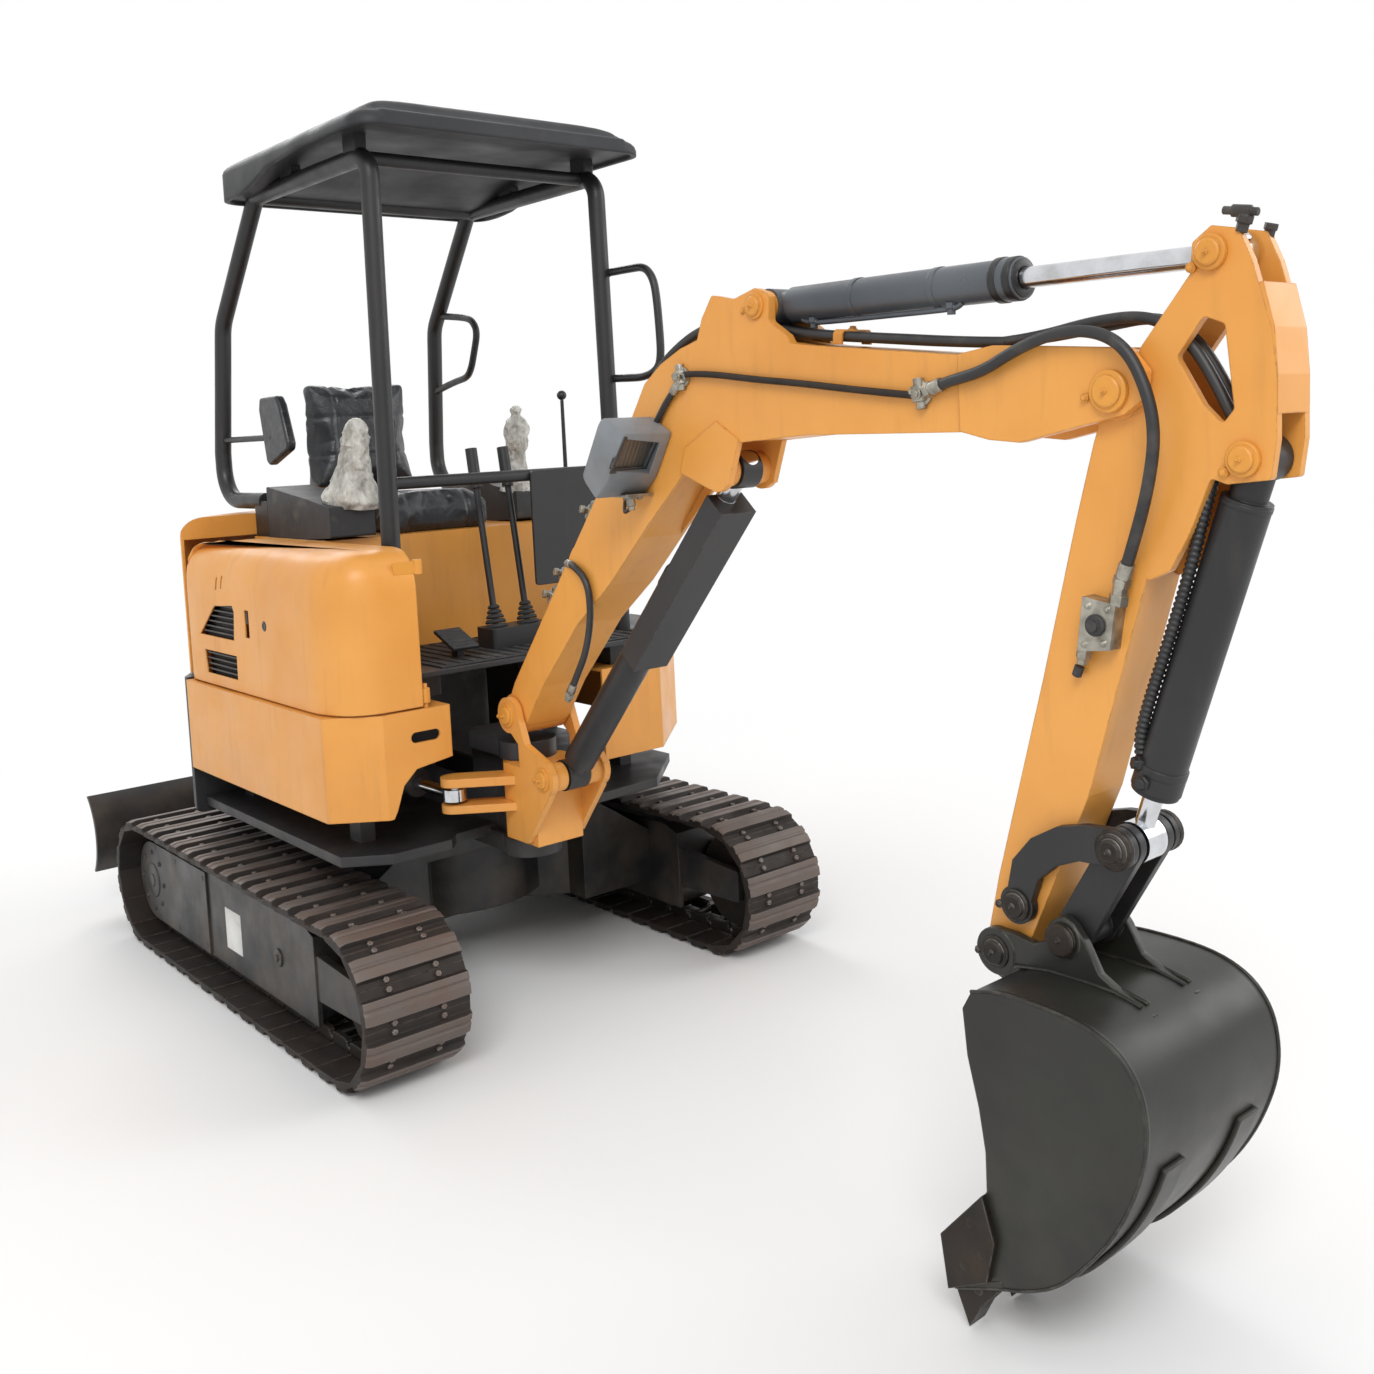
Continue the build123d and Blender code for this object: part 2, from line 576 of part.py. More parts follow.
FLOOR_TOP = 920.0
SEAT_X = -30.0
BASE_FRONT = -150.0
BASE_TOP = 1235.0
with BuildPart() as engine:
    with BuildSketch(Plane.XY.offset(DECK_FOOT + DECK_PLATE)):
        with Locations((-10, 155)):
            RectangleRounded(380, 290, 40)
    extrude(amount=460)
engine.part.label = "engine"
export_step(engine.part, "parts/engine.step")

with BuildPart() as floor_plate:
    floor_line = ((-392, -590), (400, -590), (600, -390), (600, BASE_FRONT - FIT), (-392, BASE_FRONT - FIT))
    extrude(to_extrude=polygon(Plane.XY.offset(FLOOR_TOP - 12), floor_line), amount=12)
    for x in (-330, 300):
        riser = ((x - 50, -520), (x + 50, -520), (x + 50, -200), (x - 50, -200))
        extrude(to_extrude=polygon(Plane.XY.offset(SKIRT_TOP + FIT), riser), amount=FLOOR_TOP - 12 - SKIRT_TOP - FIT)
floor_plate.part.label = "floor_plate"
export_step(floor_plate.part, "parts/floor_plate.step")

with BuildPart() as seat_base:
    with BuildSketch(Plane.XY.offset(SKIRT_TOP + FIT)):
        with Locations((0, (BASE_FRONT + TAIL_FRONT) / 2)):
            Rectangle(784, TAIL_FRONT - BASE_FRONT)
    extrude(amount=BASE_TOP - SKIRT_TOP - FIT)
    with BuildSketch(Plane.XY.offset(SKIRT_TOP)):
        with Locations((0, (BASE_FRONT + TAIL_FRONT) / 2 + SHEET)):
            Rectangle(784 - 2 * SHEET, TAIL_FRONT - BASE_FRONT)
    extrude(amount=BASE_TOP - SKIRT_TOP - SHEET, mode=Mode.SUBTRACT)
seat_base.part.label = "seat_base"
export_step(seat_base.part, "parts/seat_base.step")

with BuildPart() as seat_cushion:
    with BuildSketch(Plane.XY.offset(BASE_TOP)):
        with Locations((SEAT_X, 68)):
            RectangleRounded(350, 435, 50)
    extrude(amount=105)
seat_cushion.part.label = "seat_cushion"
export_step(seat_cushion.part, "parts/seat_cushion.step")

with BuildPart() as seat_back:
    back_line = ((300, 1345), (345, 1690), (420, 1685), (415, 1345))
    extrude(to_extrude=polygon(side_plane(SEAT_X), back_line, 18), amount=175, both=True)
    stay = ((292, BASE_TOP + FIT), (334, BASE_TOP + FIT), (350, 1360), (302, 1360))
    extrude(to_extrude=polygon(side_plane(SEAT_X), stay), amount=90, both=True)
seat_back.part.label = "seat_back"
export_step(seat_back.part, "parts/seat_back.step")

for side, word, front, inner, outer in ((-1, "right", -180, 262, 392), (1, "left", -60, 262, 392)):
    with BuildPart() as console:
        line = ((225, BASE_TOP + FIT), (front + 150, BASE_TOP + FIT), (front, BASE_TOP + 8), (front, 1325), (front + 130, 1345), (225, 1380))
        plane = side_plane(side * (inner + outer) / 2)
        extrude(to_extrude=polygon(plane, line, 6), amount=(outer - inner) / 2, both=True)
        stick_foot = (side * 300, front + 55, 1325)
        stick = Plane(origin=stick_foot, x_dir=(1, 0, 0), z_dir=(-0.05 * side, -0.16, 1))
        with BuildSketch(stick):
            Circle(34)
        extrude(amount=70, taper=22)
        with BuildSketch(stick.offset(60)):
            Circle(9)
        extrude(amount=70)
        with BuildSketch(stick.offset(120)):
            Circle(20)
        extrude(amount=95, taper=-3)
    console.part.label = f"console_{word}"
    export_step(console.part, f"parts/console_{word}.step")

with BuildPart() as travel_levers:
    with BuildSketch(Plane.XY.offset(FLOOR_TOP + FIT)):
        with Locations((20, -400)):
            RectangleRounded(190, 90, 12)
    extrude(amount=60)
    for x in (-30, 70):
        lever = Plane(origin=(x, -390, FLOOR_TOP + 40), x_dir=(1, 0, 0), z_dir=(0, 0.16, 1))
        with BuildSketch(lever):
            Circle(9)
        extrude(amount=500)
        with BuildSketch(lever.offset(400)):
            Circle(16)
        extrude(amount=110)
travel_levers.part.label = "travel_levers"
export_step(travel_levers.part, "parts/travel_levers.step")

# ------------------------------------------------------------------ canopy
POST_X = 350.0
POST_Y = -438.0
POST_TOP = 2225.0
RAIL_Z = 2205.0
CROSSBAR_RADIUS = 16.0
ROOF_CEILING = 2310.0
REAR_PATH = ((345, 264, RAIL_Z), (357, 548, 1865), (366, 600, 1480), (366, 600, 1337), (366, 290, 1337))


def tube(path, radius, bends):
    """Round bar along straight runs joined by arcs of the given radius."""
    with BuildPart() as bar:
        with BuildLine() as line:
            FilletPolyline(*path, radius=bends)
        with BuildSketch(line.line ^ 0):
            Circle(radius)
        sweep()
    return bar.part


with BuildPart() as canopy_frame:
    for side in (-1, 1):
        path = [(side * x, y, z) for x, y, z in REAR_PATH]
        add(tube(path, POST_RADIUS, 100))
        path = (
            (side * (POST_X + 4), POST_Y, FLOOR_TOP + FIT),
            (side * (POST_X - 8), POST_Y, RAIL_Z),
            (side * 345, 264, RAIL_Z),
        )
        add(tube(path, POST_RADIUS, 60))
        with BuildSketch(Plane.XY.offset(BASE_TOP + FIT)):
            with Locations((side * 358, 287)):
                Rectangle(56, 90)
        extrude(amount=1337 - BASE_TOP)
    for y, z, radius in ((POST_Y, 1385, CROSSBAR_RADIUS), (240, RAIL_Z, POST_RADIUS), (-380, RAIL_Z, 18)):
        with BuildSketch(side_plane(0)):
            with Locations((y, z)):
                Circle(radius)
        extrude(amount=344, both=True)
    # pads that carry the roof
    with BuildSketch(Plane.XY.offset(RAIL_Z)):
        with Locations(*[(side * 345, y) for side in (-1, 1) for y in (-370, 20)]):
            RectangleRounded(34, 70, 6)
    extrude(amount=ROOF_CEILING - FIT - RAIL_Z)
canopy_frame.part.label = "canopy_frame"
export_step(canopy_frame.part, "parts/canopy_frame.step")

with BuildPart() as canopy_roof:
    roof_line = (
        (ROOF_REAR, 2192),
        (ROOF_REAR + 8, 2235),
        (ROOF_REAR - 40, 2315),
        (60, 2345),
        (-450, 2340),
        (-500, 2305),
        (ROOF_FRONT, 2292),
        (ROOF_FRONT - 4, 2250),
        (-300, 2250),
        (-120, 2245),
        (40, 2205),
        (200, 2190),
    )
    extrude(to_extrude=polygon(side_plane(0), roof_line), amount=ROOF_HALF, both=True)
    section = (
        (-ROOF_HALF, 2100),
        (-ROOF_HALF, 2282),
        (-ROOF_HALF + 22, 2312),
        (-ROOF_HALF + 80, 2352),
        (ROOF_HALF - 80, 2352),
        (ROOF_HALF - 22, 2312),
        (ROOF_HALF, 2282),
        (ROOF_HALF, 2100),
    )
    extrude(to_extrude=polygon(front_plane(0), section), amount=900, both=True, mode=Mode.INTERSECT)
    hollow = (
        (ROOF_REAR - ROOF_WALL, 2100),
        (ROOF_REAR - ROOF_WALL, 2240),
        (ROOF_REAR - 50, 2300 - ROOF_WALL),
        (60, ROOF_CEILING),
        (-440, ROOF_CEILING),
        (-490, 2290 - ROOF_WALL),
        (ROOF_FRONT + ROOF_WALL, 2276 - ROOF_WALL),
        (ROOF_FRONT + ROOF_WALL, 2100),
    )
    extrude(to_extrude=polygon(side_plane(0), hollow), amount=ROOF_HALF - 54, both=True, mode=Mode.SUBTRACT)
canopy_roof.part.label = "canopy_roof"
export_step(canopy_roof.part, "parts/canopy_roof.step")

# ------------------------------------------------------------------ swing bracket
EAR_IN = BOOM_HALF + 4
CLEVIS_Z = 618.0
SWING_FOOT = (-345.0, -60.0)
SWING_EYE = (-325.0, -640.0)

with BuildPart() as swing_bracket:
    with BuildSketch(Plane.XY.offset(BRACKET_FOOT)):
        with Locations((BOOM_X, SWING_Y)):
            Circle(BRACKET_RADIUS)
        with Locations((BOOM_X, SWING_Y - 75)):
            Rectangle(2 * EAR_IN, 110)
    extrude(amount=BRACKET_TOP - BRACKET_FOOT)
    cheek = (
        (-708, 500),
        (-800, 500),
        (-905, 630),
        (-925, 690),
        (-905, 712),
        (-812, 745),
        (-778, 832),
        (-740, 850),
        (-705, 832),
        (-700, 806),
        (-782, 744),
        (-782, 688),
        (-708, 688),
    )
    for side in (-1, 1):
        ear = side_plane(BOOM_X + side * (EAR_IN + BRACKET_EAR / 2))
        extrude(to_extrude=polygon(ear, cheek), amount=BRACKET_EAR / 2, both=True)
        extrude(to_extrude=disc(ear, BOOM_FOOT, 44), amount=BRACKET_EAR / 2, both=True)
        extrude(to_extrude=disc(ear, BOOM_CYL_FOOT, 42), amount=BRACKET_EAR / 2, both=True)
        boss = side_plane(BOOM_X + side * EAR_IN)
        extrude(to_extrude=disc(boss, BOOM_FOOT, 36), amount=-side * (EAR_IN - BOOM_HALF - FIT))
        extrude(to_extrude=disc(boss, BOOM_CYL_FOOT, 34), amount=-side * (EAR_IN - EYE_HALF - FIT - 4))
    extrude(to_extrude=disc(side_plane(BOOM_X), BOOM_FOOT, PIN_RADIUS), amount=EAR_IN + 2, both=True)
    extrude(to_extrude=disc(side_plane(BOOM_X), BOOM_CYL_FOOT, PIN_RADIUS), amount=EAR_IN + 2, both=True)
    for foot, thick in ((CLEVIS_Z - 43, 20), (CLEVIS_Z + 22, 22)):
        with BuildSketch(Plane.XY.offset(foot)):
            with Locations(SWING_EYE, (BOOM_X - 40, SWING_Y - 60)):
                Circle(34)
            make_hull()
        extrude(amount=thick)
    with BuildSketch(Plane.XY.offset(BRACKET_FOOT - 1)):
        with Locations((BOOM_X, SWING_Y)):
            Circle(30 + FIT)
    extrude(amount=BRACKET_TOP - BRACKET_FOOT + 2, mode=Mode.SUBTRACT)
swing_bracket.part.label = "swing_bracket"
export_step(swing_bracket.part, "parts/swing_bracket.step")


# ------------------------------------------------------------------ cylinders
def along(flat, foot, eye):
    """Plane across a cylinder at its foot pin, looking toward the rod's eye."""
    start = flat.from_local_coords(Vector(foot[0], foot[1], 0))
    end = flat.from_local_coords(Vector(eye[0], eye[1], 0))
    return Plane(origin=start, x_dir=flat.z_dir, z_dir=end - start)


def barrel(flat, foot, eye, size):
    """Barrel of a hydraulic cylinder: foot eye, tube, gland nut and the rod's bore."""
    across = along(flat, foot, eye)
    with BuildPart() as piece:
        extrude(to_extrude=disc(flat, foot, size["eye"]), amount=size["half"], both=True)
        with BuildSketch(across):
            Circle(min(size["half"], size["tube"] - 4))
        extrude(amount=size["neck"] + 10)
        with BuildSketch(across.offset(size["neck"])):
            Circle(size["tube"])
        extrude(amount=size["length"] - size["neck"])
        with BuildSketch(across.offset(size["length"] - 46)):
            Circle(size["tube"] + 2)
        extrude(amount=40)
        with BuildSketch(across.offset(size["bore"])):
            Circle(size["rod"] + FIT)
        extrude(amount=size["length"], mode=Mode.SUBTRACT)
        extrude(to_extrude=disc(flat, foot, size["pin"] + FIT), amount=100, both=True, mode=Mode.SUBTRACT)
    return piece.part


def rod(flat, foot, eye, size):
    """Rod of a hydraulic cylinder, from inside its barrel out to its eye."""
    across = along(flat, foot, eye)
    reach = hypot(eye[0] - foot[0], eye[1] - foot[1])
    with BuildPart() as piece:
        with BuildSketch(across.offset(size["inside"])):
            Circle(size["rod"])
        extrude(amount=reach - size["inside"] - size["eye"] * 0.6)
        extrude(to_extrude=disc(flat, eye, size["eye"]), amount=size["half"] - 3, both=True)
        extrude(to_extrude=disc(flat, eye, size["pin"]), amount=size["half"] - 1, both=True)
    return piece.part


BOOM_CYLINDER = dict(tube=38.0, rod=21.0, eye=38.0, half=EYE_HALF, pin=PIN_RADIUS, neck=54.0, length=690.0, bore=60.0, inside=245.0)
ARM_CYLINDER = dict(tube=34.0, rod=17.0, eye=34.0, half=EYE_HALF, pin=18.0, neck=48.0, length=579.0, bore=60.0, inside=335.0)
BUCKET_CYLINDER = dict(tube=37.0, rod=16.0, eye=34.0, half=EYE_HALF, pin=18.0, neck=62.0, length=540.0, bore=60.0, inside=115.0)
SWING_CYLINDER = dict(tube=36.0, rod=16.0, eye=30.0, half=17.5, pin=15.0, neck=36.0, length=405.0, bore=34.0, inside=174.0)
BLADE_CYLINDER = dict(tube=32.0, rod=16.0, eye=28.0, half=BLADE_LUG_HALF - 5, pin=15.0, neck=34.0, length=350.0, bore=34.0, inside=75.0)

GUARD_HALF = BOOM_CYLINDER["tube"] + 9  # half width of the folded guard over the boom cylinder
LOBE_IN = GUARD_HALF + GAP + 0.5  # inner faces of the lobes that hold the cylinder's eye
LOBE_OUT = BOOM_HALF + 4

FLAT = side_plane(BOOM_X)
SWING_FLAT = Plane.XY.offset(CLEVIS_Z)
BLADE_FLAT = side_plane(0)
for name, flat, foot, eye, size in (
    ("boom", FLAT, BOOM_CYL_FOOT, BOOM_CYL_EYE, BOOM_CYLINDER),
    ("arm", FLAT, ARM_CYL_FOOT, ARM_CYL_EYE, ARM_CYLINDER),
    ("bucket", FLAT, BUCKET_CYL_FOOT, LINK_PIN, BUCKET_CYLINDER),
    ("swing", SWING_FLAT, SWING_FOOT, SWING_EYE, SWING_CYLINDER),
    ("blade", BLADE_FLAT, BLADE_CYL_FOOT, BLADE_CYL_EYE, BLADE_CYLINDER),
):
    tube_part = barrel(flat, foot, eye, size)
    tube_part.label = f"{name}_barrel"
    export_step(tube_part, f"parts/{name}_barrel.step")
    rod_part = rod(flat, foot, eye, size)
    if name == "boom":
        # folded guard carried by the rod's eye, open toward the boom
        with BuildPart() as guarded:
            add(rod_part)
            across = along(flat, foot, eye)
            channel = across.offset(439)
            with BuildSketch(channel):
                with Locations((0, -21)):
                    Rectangle(2 * GUARD_HALF, 58)
                with Locations((0, -18)):
                    Rectangle(2 * GUARD_HALF - 8, 54, mode=Mode.SUBTRACT)
            extrude(amount=478)
            with BuildSketch(across.offset(905)):
                with Locations((0, -21)):
                    Rectangle(2 * GUARD_HALF, 58)
            extrude(amount=12)
        rod_part = guarded.part
    rod_part.label = f"{name}_rod"
    export_step(rod_part, f"parts/{name}_rod.step")

# ------------------------------------------------------------------ boom
BOOM_OUTLINE = (
    (-700, 812),
    (-747, 888),
    (-1000, 1190),
    (-1284, 1522),
    (-1331, 1586),
    (-1388, 1623),
    (-1455, 1650),
    (-1530, 1668),
    (-1620, 1666),
    (-1812, 1631),
    (-2246, 1579),
    (-2234, 1460),
    (-1813, 1466),
    (-1612, 1456),
    (-1527, 1450),
    (-1476, 1427),
    (-1421, 1375),
    (-1306, 1279),
    (-1166, 1153),
    (-1035, 1056),
    (-871, 892),
    (-785, 785),
)
BOOM_BRACKET = (
    (-1500, 1640),
    (-1527, 1703),
    (-1561, 1746),
    (-1625, 1732),
    (-1688, 1747),
    (-1726, 1732),
    (-1723, 1682),
    (-1770, 1652),
    (-1789, 1622),
)
NOSE_OUTLINE = (
    (-2180, 1588),
    (-2253, 1597),
    (-2500, 1575),
    (-2528, 1540),
    (-2522, 1498),
    (-2491, 1478),
    (-2301, 1441),
    (-2240, 1447),
    (-2180, 1462),
)
LOBE_OUTLINE = ((-1440, 1400), (-1530, 1366), (-1590, 1372), (-1625, 1462), (-1560, 1500), (-1460, 1450))

with BuildPart() as boom:
    extrude(to_extrude=polygon(FLAT, BOOM_OUTLINE), amount=BOOM_HALF, both=True)
    extrude(to_extrude=disc(FLAT, BOOM_FOOT, 50), amount=BOOM_HALF, both=True)
    for side in (-1, 1):
        plate = side_plane(BOOM_X + side * (BOOM_HALF - 9))
        extrude(to_extrude=polygon(plate, BOOM_BRACKET, 8), amount=9, both=True)
        boss = disc(side_plane(BOOM_X + side * (EYE_HALF + FIT)), ARM_CYL_FOOT, 30)
        extrude(to_extrude=boss, amount=side * (BOOM_HALF - EYE_HALF - 10))
        plate = side_plane(BOOM_X + side * (LOBE_OUT + LOBE_IN) / 2)
        extrude(to_extrude=polygon(plate, LOBE_OUTLINE), amount=(LOBE_OUT - LOBE_IN) / 2, both=True)
        extrude(to_extrude=disc(plate, BOOM_CYL_EYE, 42), amount=(LOBE_OUT - LOBE_IN) / 2, both=True)
        plate = side_plane(BOOM_X + side * (NOSE_HALF - NOSE_WALL / 2))
        extrude(to_extrude=polygon(plate, NOSE_OUTLINE, 6), amount=NOSE_WALL / 2, both=True)
    extrude(to_extrude=disc(FLAT, ARM_CYL_FOOT, 18), amount=BOOM_HALF - 6, both=True)
    extrude(to_extrude=disc(FLAT, ARM_PIVOT, 22), amount=NOSE_HALF + 4, both=True)
    extrude(to_extrude=disc(FLAT, BOOM_FOOT, PIN_RADIUS + FIT), amount=BOOM_HALF + 1, both=True, mode=Mode.SUBTRACT)
    extrude(to_extrude=disc(FLAT, BOOM_CYL_EYE, 125), amount=LOBE_IN, both=True, mode=Mode.SUBTRACT)
    relief = lug(FLAT, (BOOM_CYL_EYE, toward(BOOM_CYL_EYE, BOOM_CYL_FOOT, 250)), 110)
    extrude(to_extrude=relief, amount=LOBE_IN, both=True, mode=Mode.SUBTRACT)
    for side in (-1, 1):
        boss = disc(side_plane(BOOM_X + side * (LOBE_IN + 1)), BOOM_CYL_EYE, 32)
        extrude(to_extrude=boss, amount=-side * (LOBE_IN + 1 - EYE_HALF - FIT))
boom.part.label = "boom"
export_step(boom.part, "parts/boom.step")

with BuildPart() as work_lamp:
    lamp_box = ((-1137, 1391), (-1208, 1517), (-1266, 1523), (-1464, 1484), (-1390, 1369))
    face = side_plane(BOOM_X - BOOM_HALF - FIT)
    extrude(to_extrude=polygon(face, lamp_box, 10), amount=-38)
    extrude(to_extrude=disc(side_plane(BOOM_X - BOOM_HALF - 38), (-1405, 1430), 34), amount=-14)
work_lamp.part.label = "work_lamp"
export_step(work_lamp.part, "parts/work_lamp.step")

# ------------------------------------------------------------------ arm
ARM_BOX = (
    (-2422, 1436),
    (-2387, 1318),
    (-2317, 1063),
    (-2217, 721),
    (-2190, 610),
    (-2256, 575),
    (-2398, 886),
    (-2503, 1215),
    (-2530, 1300),
    (-2525, 1500),
    (-2470, 1570),
)
ARM_HEAD = (
    (-2505, 1573),
    (-2589, 1672),
    (-2593, 1715),
    (-2623, 1735),
    (-2663, 1726),
    (-2682, 1682),
    (-2709, 1586),
    (-2716, 1523),
    (-2715, 1435),
    (-2706, 1380),
    (-2640, 1374),
    (-2616, 1383),
    (-2582, 1305),
    (-2549, 1248),
    (-2510, 1230),
    (-2470, 1400),
)
ARM_WINDOW = ((-2609, 1611), (-2641, 1598), (-2653, 1479), (-2635, 1458), (-2606, 1487), (-2565, 1557))
HEAD_FRONT = (
    (-2698, 1650),
    (-2687, 1648),
    (-2704, 1586),
    (-2707, 1523),
    (-2706, 1470),
    (-2716, 1470),
    (-2717, 1523),
    (-2713, 1588),
)
ARM_END_HALF = 40.0

with BuildPart() as arm:
    extrude(to_extrude=polygon(FLAT, ARM_BOX), amount=ARM_HALF, both=True)
    extrude(to_extrude=disc(FLAT, ARM_PIVOT, 62), amount=ARM_HALF, both=True)
    extrude(to_extrude=disc(FLAT, ARM_PIVOT, 44), amount=NOSE_HALF - NOSE_WALL - FIT, both=True)
    extrude(to_extrude=disc(FLAT, BUCKET_PIN, ARM_END_HALF), amount=ARM_HALF, both=True)
    extrude(to_extrude=disc(FLAT, TILT_LINK_PIVOT, 36), amount=ARM_HALF, both=True)
    for side in (-1, 1):
        plate = side_plane(BOOM_X + side * (ARM_HALF - HEAD_WALL / 2))
        extrude(to_extrude=polygon(plate, ARM_HEAD, 6), amount=HEAD_WALL / 2, both=True)
        boss = disc(side_plane(BOOM_X + side * (EYE_HALF + FIT)), BUCKET_CYL_FOOT, 28)
        extrude(to_extrude=boss, amount=side * (ARM_HALF - EYE_HALF - 10))
    extrude(to_extrude=polygon(FLAT, HEAD_FRONT), amount=ARM_HALF - 1, both=True)
    extrude(to_extrude=disc(FLAT, BUCKET_CYL_FOOT, 18), amount=ARM_HALF - 6, both=True)
    extrude(to_extrude=polygon(FLAT, ARM_WINDOW, 8), amount=ARM_HALF + 1, both=True, mode=Mode.SUBTRACT)
    extrude(to_extrude=disc(FLAT, ARM_PIVOT, 22 + FIT), amount=NOSE_HALF, both=True, mode=Mode.SUBTRACT)
    extrude(to_extrude=disc(FLAT, BUCKET_PIN, PIN_RADIUS + FIT), amount=NOSE_HALF, both=True, mode=Mode.SUBTRACT)
    extrude(to_extrude=disc(FLAT, TILT_LINK_PIVOT, 16 + FIT), amount=NOSE_HALF, both=True, mode=Mode.SUBTRACT)
arm.part.label = "arm"
export_step(arm.part, "parts/arm.step")

# ------------------------------------------------------------------ bucket and its links
LINK_IN = 30.0
LINK_OUT = 46.0
TILT_IN = 51.0
TILT_OUT = 67.0

with BuildPart() as tilt_link:
    bow = (
        (-2250, 710),
        (-2262, 762),
        (-2300, 805),
        (-2350, 833),
        (-2400, 845),
        (-2450, 848),
        (-2450, 788),
        (-2392, 786),
        (-2347, 768),
        (-2312, 738),
        (-2294, 690),
        (-2262, 665),
    )
    for side in (-1, 1):
        plate = side_plane(BOOM_X + side * (TILT_IN + TILT_OUT) / 2)
        half = (TILT_OUT - TILT_IN) / 2
        extrude(to_extrude=polygon(plate, bow), amount=half, both=True)
        extrude(to_extrude=disc(plate, TILT_LINK_PIVOT, 32), amount=half, both=True)
        extrude(to_extrude=disc(plate, LINK_PIN, 32), amount=half, both=True)
        stub = side_plane(BOOM_X + side * (TILT_IN + 1))
        extrude(to_extrude=disc(stub, LINK_PIN, 16), amount=-side * (TILT_IN - LINK_IN + 1))
        extrude(to_extrude=disc(stub, TILT_LINK_PIVOT, 26), amount=-side * (TILT_IN - LINK_OUT + 1 - FIT))
    extrude(to_extrude=disc(FLAT, TILT_LINK_PIVOT, 16), amount=TILT_OUT, both=True)
tilt_link.part.label = "tilt_link"
export_step(tilt_link.part, "parts/tilt_link.step")

with BuildPart() as bucket_link:
    for side in (-1, 1):
        plate = side_plane(BOOM_X + side * (LINK_IN + LINK_OUT) / 2)
        half = (LINK_OUT - LINK_IN) / 2
        extrude(to_extrude=lug(plate, (LINK_PIN, BUCKET_LINK_PIN), 32), amount=half, both=True)
        boss = side_plane(BOOM_X + side * LINK_OUT)
        extrude(to_extrude=disc(boss, LINK_PIN, 26), amount=side * (TILT_IN - LINK_OUT - FIT))
        extrude(to_extrude=disc(boss, BUCKET_LINK_PIN, 26), amount=side * (TILT_IN - LINK_OUT - FIT))
        bore = disc(boss, LINK_PIN, 16 + FIT)
        extrude(to_extrude=bore, amount=20, both=True, mode=Mode.SUBTRACT)
    extrude(to_extrude=disc(FLAT, BUCKET_LINK_PIN, 26), amount=LINK_IN + 1, both=True)
bucket_link.part.label = "bucket_link"
export_step(bucket_link.part, "parts/bucket_link.step")

BUCKET_OUTLINE = (
    (-2252, 548),
    (-2267, 458),
    (-2284, 360),
    (-2287, 300),
    (-2275, 240),
    (-2222, 168),
    (-2204, 140),
    (-2222, 64),
    (-2290, 104),
    (-2328, 122),
    (-2410, 181),
    (-2497, 276),
    (-2544, 343),
    (-2578, 400),
    (-2600, 460),
    (-2588, 540),
    (-2554, 578),
    (-2514, 588),
    (-2308, 590),
)
BUCKET_HOLLOW = (
    (-2180, 572),
    (-2310, 578),
    (-2512, 576),
    (-2548, 567),
    (-2577, 533),
    (-2588, 462),
    (-2568, 404),
    (-2535, 349),
    (-2489, 283),
    (-2404, 190),
    (-2324, 132),
    (-2270, 106),
    (-2180, 60),
)
TOOTH = ((-2214, 60), (-2240, 2), (-2262, 44), (-2300, 88), (-2276, 108), (-2214, 78))
EAR_OUTLINE = (
    (-2184, 600),
    (-2196, 632),
    (-2222, 637),
    (-2262, 640),
    (-2300, 630),
    (-2332, 650),
    (-2345, 684),
    (-2378, 682),
    (-2400, 655),
    (-2420, 615),
    (-2500, 578),
    (-2250, 548),
    (-2200, 565),
)

with BuildPart() as bucket:
    extrude(to_extrude=polygon(FLAT, BUCKET_OUTLINE), amount=BUCKET_HALF, both=True)
    extrude(to_extrude=polygon(FLAT, BUCKET_HOLLOW), amount=BUCKET_HALF - BUCKET_WALL, both=True, mode=Mode.SUBTRACT)
    for side in (-1, 1):
        plate = side_plane(BOOM_X + side * (TILT_IN + TILT_OUT) / 2)
        half = (TILT_OUT - TILT_IN) / 2
        extrude(to_extrude=polygon(plate, EAR_OUTLINE), amount=half, both=True)
        extrude(to_extrude=disc(plate, BUCKET_PIN, 40), amount=half, both=True)
        extrude(to_extrude=disc(plate, BUCKET_LINK_PIN, 32), amount=half, both=True)
        boss = side_plane(BOOM_X + side * (TILT_IN + 1))
        extrude(to_extrude=disc(boss, BUCKET_PIN, 32), amount=-side * (TILT_IN - ARM_HALF + 1 - FIT))
        cutter = ((-2190, 205), (-2204, 162), (-2211, 65), (-2295, 100), (-2290, 215), (-2262, 240))
        wear = side_plane(BOOM_X + side * BUCKET_HALF)
        extrude(to_extrude=polygon(wear, cutter), amount=side * 12)
    extrude(to_extrude=disc(FLAT, BUCKET_PIN, PIN_RADIUS), amount=TILT_IN + 2, both=True)
    for x in (-165, -55, 55, 165):
        extrude(to_extrude=polygon(side_plane(BOOM_X + x), TOOTH), amount=22, both=True)
bucket.part.label = "bucket"
export_step(bucket.part, "parts/bucket.step")

# ------------------------------------------------------------------ front panel of the cab
with BuildPart() as front_panel:
    panel = ((60, 1085), (322, 1085), (322, 1402), (60, 1396))
    extrude(to_extrude=polygon(front_plane(POST_Y - CROSSBAR_RADIUS - FIT), panel, 10), amount=8)
front_panel.part.label = "front_panel"
export_step(front_panel.part, "parts/front_panel.step")
